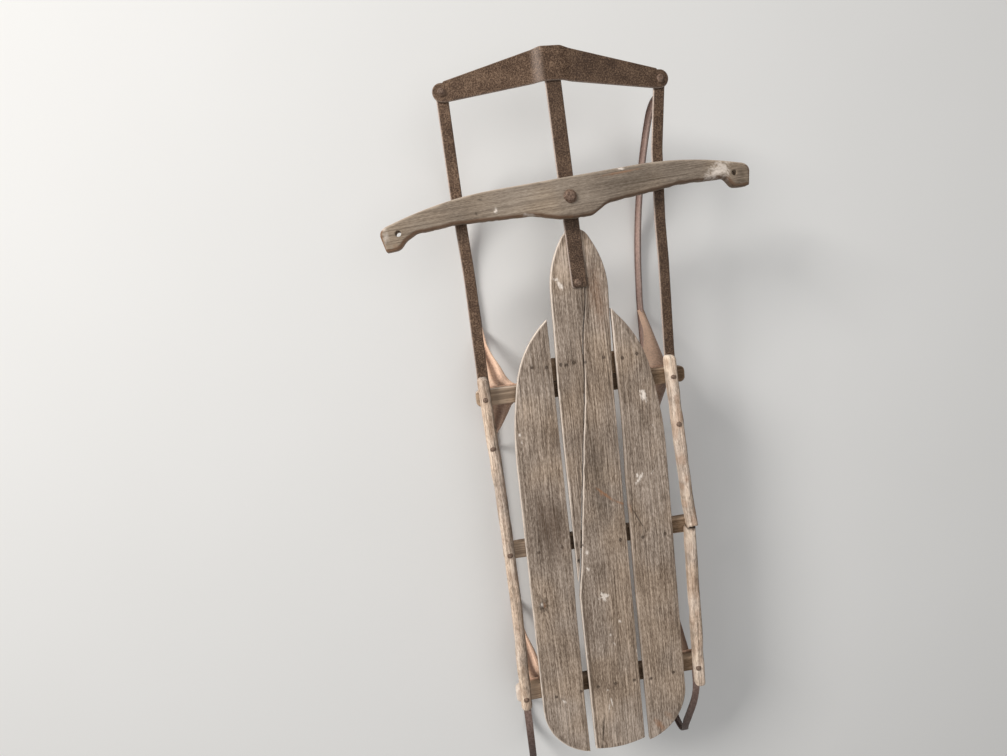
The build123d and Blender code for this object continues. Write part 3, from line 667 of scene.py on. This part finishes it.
PIVOT_X, BAR_LOW, BAR_THICK, BAR_HALF = 408.5, 169.3, 24.0, 299.4
BAR_TURN, BAR_BOW_RADIUS = np.radians(5.0), 625.2
bar_s = stations(-BAR_HALF + 0.05, BAR_HALF - 0.05, 2.4)
far = np.abs(bar_s)
front_line = 30.5 - (BAR_BOW_RADIUS - bulge(np.clip(far - 110.0, 0, 170.0), BAR_BOW_RADIUS))
front_end = np.interp(far, (271.8, 288.0, 293.0, 296.5, 298.6, 299.4), (9.2, 5.0, 2.6, -0.5, -4.0, -8.0))
bar_front = np.where(far < 271.8, front_line, front_end)
left_rear = eased(
    far, (0, 18, 40, 62, 185, 245, 264, 271, 290), (-32.0, -29.5, -23.5, -17.0, -9.5, -12.5, -20.5, -31.0, -33.0), 5.0
)
right_rear = eased(far, (0, 34, 62, 185, 258, 270, 290), (-32.0, -32.0, -17.5, -9.5, -13.0, -30.0, -31.0), 4.0)
cut_end = np.interp(far, (293.5, 295.0, 296.0, 299.4), (-60.0, -34.0, -30.0, -8.5))
bar_rear = np.maximum(np.where(bar_s > 0, left_rear, right_rear), cut_end)
bar_rear = bar_rear + np.clip(lattice(bar_s / 7.0, bar_s * 0 + 2.5, 81) - 0.5, 0, 1) * 2.2


def on_sled(s, t):
    """x and y of a place on the bar, which is turned about its pivot."""
    x = PIVOT_X + t * np.cos(BAR_TURN) - s * np.sin(BAR_TURN)
    y = t * np.sin(BAR_TURN) + s * np.cos(BAR_TURN)
    return x, y


def bar_furrows(s, t):
    """Depth from 0 to 1 of the furrows along the bar."""
    return furrows(lattice(s / 60.0, t / 1.6, 83))


def bar_relief(s, t):
    """Shallow furrows along the bar, low broad hollows, and a slope of wear at each end."""
    hollows = 1.2 * (lattice(s / 50.0, t / 22.0, 84) - 0.6)
    return hollows - 0.3 * bar_furrows(s, t) - 1.6 * near(BAR_HALF - np.abs(s), 40.0)


s, t, z, inset = plate(
    bar_s, bar_rear, bar_front, BAR_LOW, BAR_THICK, rim=5.5, relief=bar_relief, across=40,
    edge_steps=(0.0, 0.3, 0.9, 1.8, 3.0, 4.4, 6.0),
)
x, y = on_sled(s, t)
# The marks lie on the bar's top alone, and its low rear wall is darkened with painted shade through the stain tint,
# under a rust tint
upper = z > BAR_LOW + 18.0
shaded_rear_wall = np.clip((BAR_LOW + 24.2 - z) / 2.0, 0, 1) * (inset < 3.5) * (z > BAR_LOW + 1.0) * (t < 0)
found = {kind: values * upper for kind, values in marked(x, y).items()}
found["rust"] = np.maximum(found["rust"], np.where(s > 0, 0.6, 0.35) * shaded_rear_wall)
found["stain"] = np.maximum(found["stain"], np.where(s > 0, 0.55, 0.8) * shaded_rear_wall)
# A pale painted highlight along the front rim of the bar's left half.
found["paint"] = np.maximum(found["paint"], 0.5 * near(inset, 1.4) * upper * (t > 0) * np.clip(s / 60.0, 0, 1))
found["furrow"] = 0.5 * bar_furrows(s, t) * (inset < 30.0)
found["sway"] = (t - x) * MM
# The rounded rim is paler: wear and a painted highlight, less on the shaded rear wall.
found["wear"] = near(inset + 3.0 * (lattice(s / 16.0, t / 8.0, 85) - 0.5), 4.5) * (1 - 0.8 * shaded_rear_wall)
bar = ringed("steering_bar_worn", "steering", "bar_wood", [(x, y, z, found)], ["steering_bar"])


def drill(piece, places, radius):
    """Cuts round holes through the bar with rods that stand a little above and below it."""
    turn = np.linspace(0, 2 * np.pi, 24, endpoint=False)
    level = np.array([[BAR_LOW - 5.0], [BAR_LOW + BAR_THICK + 5.0]])
    circles = [(x + radius * np.cos(turn), y + radius * np.sin(turn), level, {}) for x, y in places]
    rods = ringed("rods", None, None, circles)
    cut = piece.modifiers.new("holes", "BOOLEAN")
    cut.object = rods
    cut.operation = "DIFFERENCE"
    cut.solver = "EXACT"
    bpy.context.view_layer.update()
    holed = bpy.data.meshes.new_from_object(piece.evaluated_get(bpy.context.evaluated_depsgraph_get()))
    piece.modifiers.remove(cut)
    piece.data = holed
    bpy.data.objects.remove(rods)


rope_holes = np.column_stack(on_sled(np.array([272.0, -272.0]), -8.7))
drill(bar, rope_holes, 4.7)
drill(bar, [(PIVOT_X, 0.0)], 4.3)


# Straps and bumper

STRAP_START_X, RIVET_X, STRAP_HALF, STRAP_STEP = 18.5, 582.0, 9.5, 2.4


def steel_relief(s, t):
    """Rust pits: small hollows of two sizes."""
    small = np.clip(0.42 - lattice(s / 2.2, t / 2.2, 95), 0, 1)
    large = np.clip(0.4 - lattice(s / 6.0, t / 6.0, 96), 0, 1)
    return -0.7 * small - 0.9 * large


def round_ends(along, half, radius):
    """Half width of a piece along its line, closing in a quarter circle at both ends."""
    return half - quarter(np.minimum(along - along[0], along[-1] - along), radius)


def strap(node, along, middle, half, base):
    """A flat steel strap whose middle line and level are given at each place along it."""
    x, y, z, inset = plate(
        along, middle - half, middle + half, base, STEEL, rim=2.0, relief=steel_relief, across=18,
        edge_steps=(0.0, 0.3, 0.8, 1.5, 2.2),
    )
    from_left = (middle + half)[:, None] - y
    # Rubbed edges and a painted highlight: the left edge is made much paler than the rest of the outline. The centre
    # and right straps are darker.
    wear = near(inset, 2.6) * (inset < EDGE_BAND) * np.where(from_left < 3.0, 1.0, 0.1)
    tints = {"wear": wear, "grime": 0.3 * (y < 20.0)}
    ringed(f"{node}_rusted", "sled", "strap_steel", [(x, y, z, tints)], [node])


# Middle line of each side strap seen from above: x and y
side_straps = {
    "left": ((STRAP_START_X, 104.0, 300.0, 430.0, RIVET_X), (168.0, 170.4, 171.3, 176.2, 178.5)),
    "right": ((STRAP_START_X, 104.0, 365.0, 476.0, RIVET_X), (-157.2, -155.5, -152.2, -156.2, -168.5)),
}
along = stations(STRAP_START_X - STRAP_HALF, RIVET_X + STRAP_HALF, STRAP_STEP)
half = round_ends(along, STRAP_HALF, STRAP_HALF)
under_bench, under_deck = BENCH_TOP - STEEL, DECK_TOP - STEEL
level = eased(along, (0.0, 150.0, 300.0, 600.0), (under_bench, under_bench, under_deck, under_deck), 7.0)
for side, line in side_straps.items():
    strap(f"side_strap_{side}", along, eased(along, *line, 7.0), half, level)

along = stations(268.5, 632.0, STRAP_STEP)
middle = np.interp(along, (268.5, 619.0), (-6.0, 5.2))
strap("centre_strap", along, middle, round_ends(along, 13.0, 4.0), DECK_TOP)

# Bumper, from the right rivet to the left: back and front edge, and its level over the centre strap
BUMPER_Y, BUMPER_FRONT_X, BUMPER_BACK_X, WING, FLAT, CAP_RADIUS = 5.0, 638.9, 588.0, 173.5, 17.0, 14.0
SLOPE_REACH, FRONT_DROP, BACK_DROP = 1000.0, 269.5, 134.5
along = stations(BUMPER_Y - WING - CAP_RADIUS, BUMPER_Y + WING + CAP_RADIUS, FINE_STEP)
away = np.abs(along - BUMPER_Y)
bend = (0.0, FLAT, FLAT + SLOPE_REACH)
front_edge = eased(away, bend, (BUMPER_FRONT_X, BUMPER_FRONT_X, BUMPER_FRONT_X - FRONT_DROP), 1.5)
back_edge = eased(away, bend, (BUMPER_BACK_X, BUMPER_BACK_X, BUMPER_BACK_X - BACK_DROP), 3.0)
cap = CAP_RADIUS - bulge(np.clip(away - WING, 0, CAP_RADIUS), CAP_RADIUS)
at_cap = away > WING - 4.0
front_edge = np.where(at_cap, np.minimum(front_edge, RIVET_X + CAP_RADIUS - cap), front_edge)
back_edge = np.where(at_cap, np.maximum(back_edge, RIVET_X - CAP_RADIUS + cap), back_edge)
front_edge = np.maximum(front_edge, back_edge + 0.02)
level = DECK_TOP + eased(away, (0.0, 14.5, 30.0, 400.0), (STEEL, STEEL, 0.0, 0.0), 2.5)
y, x, z, inset = plate(
    along, back_edge, front_edge, level, STEEL, rim=1.8, relief=steel_relief, across=34,
    edge_steps=(0.0, 0.3, 0.8, 1.5, 2.1),
)
# Rubbed edges, and a soft painted highlight on the slope where the plate steps down beside the centre strap on the
# left; the right wing is darkened as painted shade.
wear = near(inset, 1.5) * (inset < EDGE_BAND) * 0.5 + near(np.abs(y - BUMPER_Y - 22.0), 13.0) * 0.3
tints = {"wear": np.clip(wear, 0, 1), "grime": 0.35 * np.clip((10.0 - y) / 40.0, 0, 1)}
ringed("bumper_rusted", "sled", "strap_steel", [(x, y, z, tints)], ["bumper"])


# Rails: half-round wood along a line

RAIL_HALF, RAIL_TALL, WORN_REACH = 10.0, 17.0, 9.0


def rail(node, seed, places, middles, torn=(0.0, 0.0)):
    """A rail: a flat underside, low walls and a round top, uneven along its length. A whole end is worn round;
    a torn end is ragged, each line of its ring ending at another place."""
    start, end = places[0], places[-1]
    along = stations(start, end, 2.6)[:, None]
    middle = eased(along, places, middles, 12.0)
    turn = np.linspace(0, np.pi, 23)
    wide = np.concatenate([np.cos(turn), np.linspace(-1, 1, 9)])
    tall = np.concatenate([0.42 + 0.58 * np.sin(turn) ** 0.9, np.zeros(9)])
    uneven = 1.0 + 0.16 * (lattice(along / 26.0, wide * 1.6 + 4.0, seed) - 0.55)
    ends = np.minimum(
        np.maximum(np.clip((along - start) / WORN_REACH, 0, 1), torn[0]),
        np.maximum(np.clip((end - along) / WORN_REACH, 0, 1), torn[1]),
    )
    closing = np.sqrt(1 - (1 - ends) ** 2)
    furrow = furrows(lattice(along / 34.0, wide * 9.0 + tall * 5.0, seed + 2))
    half = RAIL_HALF * uneven * (0.35 + 0.65 * closing) - 0.35 * furrow
    y = middle + wide * half
    z = BENCH_TOP + 0.05 + tall * (RAIL_TALL * uneven * (0.45 + 0.55 * closing) - 0.35 * furrow)
    ragged = 6.0 * (lattice(wide * 3.0 + 9.0, tall * 3.0, seed + 3) - 0.5) - 1.5 * wide
    x = along + torn[0] * near(along - start, 24.0) * ragged - torn[1] * near(end - along, 24.0) * ragged
    broken = np.maximum(torn[0] * near(along - start, 4.0), torn[1] * near(end - along, 4.0))
    # Painted light on the rail: its right flank is darkened as painted shade through the stain tint, and its left flank
    # is paled as painted light through the pale tint.
    shaded_right_side = np.clip((-wide - 0.55) / 0.35, 0, 1) * (tall > 0.02)
    lit_left_side = np.clip((wide - 0.1) / 0.5, 0, 1)
    damp = np.clip((lattice(along / 9.0, wide * 2.0 + 8.0, seed + 7) - 0.62) / 0.2, 0, 1)
    brown = np.clip((lattice(along / 16.0, wide * 1.2 + 5.0, seed + 6) - 0.55) / 0.2, 0, 1)
    streak = near(np.abs(tall - 0.3), 0.3) * (lattice(along / 60.0, wide + 2.0, seed + 4) > 0.6)
    tints = {
        "furrow": 0.6 * furrow,
        "sway": -middle * MM,
        "wear": 0.4 * (1 - closing),
        "stain": 0.6 * broken + 0.65 * shaded_right_side + 0.3 * damp,
        "pale": 1.7 * torn[0] * near(end - x, 110.0) + 1.1 * lit_left_side,
        "rust": np.maximum(0.6 * streak, (0.45 if torn[0] else 0.2) * brown),
    }
    ringed(f"{node}_worn", "sled", "rail_wood", [(x, y, z, tints)], [node])


rail("rail_left", 165, (-472.0, -259.7, -83.3, 140.0), (165.4, 161.8, 163.9, 171.3))
rail(
    "rail_right_front", 170, (-171.5, -123.0, -20.0, 140.0), (-170.2, -165.6, -159.2, -151.6), torn=(1.0, 0.0)
)
rail("rail_right_rear", 162, (-488.0, -174.5), (-162.5, -165.2), torn=(0.0, 1.0))


# Runners: a T-section carried along the side view of the bent bar

def arc(middle, radius, start, end, count):
    """Points and inward directions of an arc of the runner's ground face, angles in degrees. The inward side is
    towards the middle where the angle falls, and away from it where it grows."""
    turn = np.radians(np.linspace(start, end, count))
    out = np.stack([np.cos(turn), np.sin(turn)], axis=-1)
    return np.array(middle) + radius * out, out * (1 if end > start else -1)


def straight(start, end, inward, count):
    """Points of a straight stretch, all with one inward direction."""
    return np.linspace(start, end, count), np.tile(np.array(inward, float), (count, 1))


CURL_X, CURL_Z, CURL_RADIUS, RISE_RADIUS = 504.0, 142.0, 60.0, 380.0
LOOP_X, LOOP_RADIUS, LOOP_ANGLE = -578.0, 61.5, 128.0
# The long rise runs into the ground and the curl, and the loop's top into the loop and the benches' level
rise_turn = np.degrees(np.arccos((RISE_RADIUS - CURL_Z) / (RISE_RADIUS - CURL_RADIUS)))
rise_x = CURL_X - (RISE_RADIUS - CURL_RADIUS) * np.sin(np.radians(rise_turn))
loop_sine = np.sin(np.radians(LOOP_ANGLE))
top_radius = (BENCH_TOP - LOOP_RADIUS * (1 + loop_sine)) / (1 - loop_sine)
top_x = LOOP_X - (top_radius - LOOP_RADIUS) * np.cos(np.radians(LOOP_ANGLE))
# The ground face seen from the side: front end, bend, upright, curl, long rise, ground, loop, its top, rear end
runner_runs = [
    straight((588.4, 157.0), (569.0, 157.0), (0, 1), 9),
    arc((569.0, 152.0), 5.0, 90.0, 180.0, 8),
    straight((564.0, 152.0), (564.0, CURL_Z), (-1, 0), 4),
    arc((CURL_X, CURL_Z), CURL_RADIUS, 0.0, rise_turn - 90.0, 26),
    arc((rise_x, RISE_RADIUS), RISE_RADIUS, rise_turn - 90.0, -90.0, 60),
    straight((rise_x, 0.0), (LOOP_X, 0.0), (0, 1), 180),
    arc((LOOP_X, LOOP_RADIUS), LOOP_RADIUS, -90.0, LOOP_ANGLE - 360.0, 50),
    arc((top_x, BENCH_TOP - top_radius), top_radius, LOOP_ANGLE, 90.0, 40),
    straight((top_x, BENCH_TOP), (-433.0, BENCH_TOP), (0, -1), 16),
]
runner_line, runner_inward = (
    np.concatenate([run[min(n, 1):] for n, run in enumerate(runs)]) for runs in zip(*runner_runs)
)
curl_start = sum(len(line) - 1 for line, inward in runner_runs[:3])
loop_end = len(runner_line) - len(runner_runs[-1][0])
crown = int(np.argmin(runner_line[:, 0]))
# Line of each runner seen from above, x and y: first from its front to the loop's crown, then over the loop's top
runner_plan = {
    "left": (
        ((-700.0, -626.0, -596.0, 240.0, RIVET_X), (165.0, 165.0, 165.0, 165.0, 178.5)),
        ((-700.0, -430.0), (165.0, 165.0)),
    ),
    "right": (
        ((-700.0, -626.0, -596.0, 240.0, RIVET_X), (-145.0, -145.0, -154.5, -154.5, -168.5)),
        (
            (-700.0, -626.0, -600.0, -563.0, -528.0, -496.0, -428.0),
            (-145.0, -145.0, -139.5, -144.0, -152.5, -158.0, -159.0),
        ),
    ),
}
# Half of the T-section, from the middle of its ground face round to the top of its web: sideways, inwards
half_section = np.array([
    (0.0, 0.0), (3.0, 0.0), (5.6, 0.05), (6.3, 0.35), (6.5, 1.0), (6.5, 2.6), (6.2, 3.2), (5.5, 3.45), (3.4, STEEL),
    (2.1, 3.6), (1.6, 4.2), (1.5, 6.0), (1.5, 9.0), (1.5, 11.6), (1.1, 12.3), (0.0, 12.5),
])
section = np.concatenate([half_section, half_section[-2:0:-1] * (-1, 1)])


def runner(side):
    """A runner: its section carried along the side view, set over its line seen from above. The web stands only
    from the curl to the loop's top; both ends of the bar are round."""
    sideways, deep = section.T
    order = np.arange(len(runner_line))
    low_y, high_y = (eased(runner_line[:, 0], *line, 12.0) for line in runner_plan[side])
    line_y = np.where(order <= crown, low_y, high_y)
    web = np.clip((order - curl_start) / 5.0, 0.02, 1) * np.clip((loop_end - order) / 6.0, 0.02, 1)
    reach = np.concatenate([[0], np.cumsum(np.hypot(*np.diff(runner_line, axis=0).T))])
    tip = np.clip(np.minimum(reach, reach[-1] - reach) / 6.5, 0, 1)
    wide = np.sqrt(1 - (1 - tip) ** 2)
    pits = 0.35 * (lattice(reach[:, None] / 5.0, sideways * 0.8 + deep * 0.5 + 20.0, 97) - 0.5)
    inward = np.where(deep > STEEL, STEEL + (deep - STEEL) * web[:, None], deep)
    inward = inward + np.where(deep > 1.5, pits, 0.12 + 0.2 * np.abs(pits))
    across = sideways * (1 - 0.03 * pits) * np.maximum(wide, 0.02)[:, None]
    x = runner_line[:, :1] + runner_inward[:, :1] * inward
    z = np.maximum(runner_line[:, 1:] + runner_inward[:, 1:] * inward, 0.0)
    # The front of the runner is paler: wear on its rubbed ground face and a painted highlight on the foot's top and the
    # web. It darkens towards the rear and on the foot's rims as painted shade.
    rim = np.abs(sideways) > 5.2
    wear = np.where(deep < 0.3, 0.9, np.where(rim, 0.0, 0.7)) * (x > 0.0)
    grime = np.maximum(near(x + 640.0, 330.0), 0.55 * rim * (deep > 0.3) * (x > 0.0))
    tube = (x, line_y[:, None] + across, z, {"wear": wear, "grime": grime})
    ringed(f"runner_{side}_rusted", "sled", "runner_steel", [tube], [f"runner_{side}"])


for side in ("left", "right"):
    runner(side)


# Knees: pressed sheet, a plate under the bench and a ridged leg each way

BENCH_X = {"front": 104.0, "middle": -172.0, "rear": -447.0}
KNEE_TOP, FOOT_TOP, FOOT_REACH, TOP_REACH, SHEET = 130.0, 3.5, 115.0, 11.0, 2.0
# How far the forward leg and the rear one reach inboard at each share of their height
knee_inboard = {
    1.0: ((0.0, 0.05, 0.14, 0.3, 0.48, 0.66, 1.0), (53.0, 42.0, 35.5, 28.5, 18.0, 11.0, 6.4)),
    -1.0: ((0.0, 0.05, 0.25, 0.46, 0.55, 0.66, 1.0), (48.0, 39.5, 31.0, 20.0, 13.0, 7.5, 6.4)),
}


def knee(place, side):
    """A knee. Each leg is a thin sheet over height and width: seen from the front it narrows on a curve to the
    runner; across its width it rises to a wide inboard ridge, sinks to a hollow and lifts again at its outboard
    edge. The plate joins the two legs."""
    middle_x = BENCH_X[place]
    line, outward = (165.0, 1.0) if side == "left" else (-154.5, -1.0)
    height = np.linspace(0, 1, 40)[:, None]
    level = KNEE_TOP - height * (KNEE_TOP - FOOT_TOP)
    outboard = eased(height, (0.0, 0.5, 1.0), (1.5, 4.0, 6.4), 0.05)
    share = np.linspace(0, 1, 25)
    if side == "left":
        swell = eased(share, (0.0, 0.12, 0.28, 0.38, 0.6, 0.7, 1.0), (0.1, 0.9, 1.0, 0.1, 0.1, 0.8, 0.7), 0.03)
        hollow = near(np.abs(share - 0.49), 0.24)
    else:
        swell = eased(share, (0.0, 0.1, 0.62, 0.8, 1.0), (0.0, 0.25, 1.0, 0.85, 0.1), 0.04)
        hollow = 0.75 * np.clip((share - 0.4) / 0.5, 0, 1)
    dark = np.concatenate([hollow, hollow[::-1]])
    tubes = []
    for way, curve in knee_inboard.items():
        inboard = eased(height, *curve, 0.03)
        rise = (7.8 * np.sin(np.clip(height * 0.9 + 0.12, 0, 1) * np.pi) ** 0.5 + 0.4) * swell
        inner = TOP_REACH + (FOOT_REACH - TOP_REACH) * height + rise
        across = line + outward * (outboard * share - inboard * (1 - share))
        x = np.concatenate([inner + SHEET, inner[:, ::-1]], axis=1)
        y = np.concatenate([across, across[:, ::-1]], axis=1)
        dent = 0.5 * (lattice(level / 14.0, y / 9.0, 98) - 0.5)
        # Painted light on the knees: the hollow gets painted shade, most on the forward legs, and the rear legs and the
        # rear knees get more painted shade, all through the grime tint; the rest of each leg gets a painted highlight
        # through the wear tint.
        shade = (0.0 if way > 0 else 0.6) + (0.3 if middle_x < 0 else 0.0)
        wear = np.clip(1.0 - dark * 1.5, 0, 1) * max(1.0 - 1.3 * shade, 0.0)
        grime = dark * (0.85 if way > 0 else 0.25) + shade
        tubes.append((middle_x + way * (x + dent), y, level, {"wear": wear, "grime": grime}))
    plate_x = np.linspace(middle_x - 16.0, middle_x + 16.0, 18)
    low, high = (np.full(18, edge) for edge in sorted((line + outward * 9.5, line - outward * 53.0)))
    x, y, z, inset = plate(plate_x, low, high, KNEE_TOP, 1.95, rim=0.6, across=16, edge_steps=(0.0, 0.4, 1.0))
    tubes.append((x, y, z, {"wear": 0.2, "grime": 0.0}))
    node = f"knee_{place}_{side}"
    ringed(f"{node}_pressed", "sled", "knee_steel", tubes, [node])


for place in ("front", "rear"):
    for side in ("left", "right"):
        knee(place, side)


# Benches with worn edges

def bench(place, right_y, left_y, dust_and_light):
    """A bench: a plate across the sled with round ends and well-worn edges. Its left end is paled by painted light and
    dust, the front bench's front rim gets a painted highlight, and the bench is darker as painted shade under the deck
    and towards its right end.
    """
    middle_x = BENCH_X[place]
    along = stations(right_y, left_y, 3.0)
    half = round_ends(along, 14.0, 9.0) + 0.5 * (lattice(along / 20.0, along * 0 + 1.2, 47) - 0.5)

    def bench_furrows(s, t):
        """Depth from 0 to 1 of the furrows along the bench."""
        return furrows(lattice(s / 50.0, t / 1.8, 48))

    y, x, z, inset = plate(
        along, middle_x - half, middle_x + half, 132.0, 19.8, rim=3.0,
        relief=lambda s, t: -0.5 * bench_furrows(s, t), across=24,
    )
    # Painted light and dust pale the left end; a painted highlight lies on the front bench's front rim; the stain tint
    # paints shade under the deck and towards the right end.
    from_left = left_y - y
    pale_end = 0.75 * (dust_and_light > 0.9) * near(from_left, 34.0)
    front_rim_highlight = 0.6 * near(inset, 1.6) * (x > middle_x + 10.0) * (middle_x > 0) * near(from_left, 120.0)
    tints = {
        "furrow": bench_furrows(y, x),
        "wear": np.maximum(near(inset, 3.0), dust_and_light * near(from_left, 60.0)),
        "stain": np.maximum(0.75 * near(np.abs(y) - 60.0, 75.0), 0.2 * near(y - right_y, 60.0)),
        "paint": np.maximum(pale_end, front_rim_highlight),
        "pale": 5.0 * near(from_left, 110.0),
    }
    ringed(f"bench_{place}_worn", "sled", "bench_wood", [(x, y, z, tints)], [f"bench_{place}"])


bench("front", -180.0, 186.0, 0.6)
bench("middle", -176.0, 173.0, 0.5)
bench("rear", -172.0, 182.0, 1.0)


# Heads of nails, bolts and rivets

def domes(name, places, rings=7, around=20, grime=0.0):
    """Domed heads: for each place x, y, underside, radius and height, rings that close on the top in a quarter
    turn, a little uneven as hammered heads are."""
    turn = np.linspace(0, 2 * np.pi, around, endpoint=False)
    lift = np.linspace(0, np.pi / 2, rings)[:, None]
    tubes = []
    for number, (x, y, low, radius, height) in enumerate(places):
        uneven = 1 + 0.05 * np.sin(2 * turn + number) + 0.03 * np.sin(5 * turn + 2 * number)
        ring_x = x + radius * np.cos(lift) * np.cos(turn) * uneven
        ring_y = y + radius * np.cos(lift) * np.sin(turn) * uneven
        tubes.append((ring_x, ring_y, low + height * np.sin(lift), {"wear": 0.3, "grime": grime}))
    ringed(name, "sled", "bolt_steel", tubes)


domes("deck_nails", [(x, y, DECK_TOP - 1.5, 2.1, 0.9) for x, y in nails], rings=4, around=12, grime=0.75)
left_bolts = [(102.2, 170.5), (STRAP_START_X, 168.0), (-172.0, 162.0), (-447.0, 165.0)]
right_bolts = [(102.2, -153.5), (STRAP_START_X, -157.2), (-447.0, -159.0)]
bolt_seat = BENCH_TOP + RAIL_TALL - 2.2
domes("rail_bolt_heads_left", [(x, y, bolt_seat, 4.8, 3.4) for x, y in left_bolts])
domes("rail_bolt_heads_right", [(x, y, bolt_seat + 0.7, 4.8, 3.4) for x, y in right_bolts])
rivet_seat = DECK_TOP + STEEL
domes("rivet_heads", [(RIVET_X, 178.5, rivet_seat, 6.0, 4.8), (580.0, -168.5, rivet_seat, 5.6, 4.4)])
domes("nose_bolt_head", [(276.5, -4.0, rivet_seat, 7.0, 3.8)])
domes("steering_bolt_head", [(PIVOT_X, 0.0, BAR_LOW + BAR_THICK + 0.3, 10.6, 4.8)])


# Floor

def lay_floor():
    """A flat pale floor, which reaches six metres each way from the middle."""
    finish = Finish("pale_floor")
    tone = finish.noise(finish.place, 1.3)
    colour = finish.blend(tone, (0.8, 0.795, 0.78), (0.86, 0.855, 0.845))
    finish.close(colour, 0.9, specular=0.1)
    reach = 6000.0
    corners = np.array([(-reach, -reach, 0.0), (reach, -reach, 0.0), (reach, reach, 0.0), (-reach, reach, 0.0)])
    floor = made("floor", None, None, corners, [(0, 1, 2, 3)], {}, [])
    floor.data.materials.append(finish.material)


lay_floor()
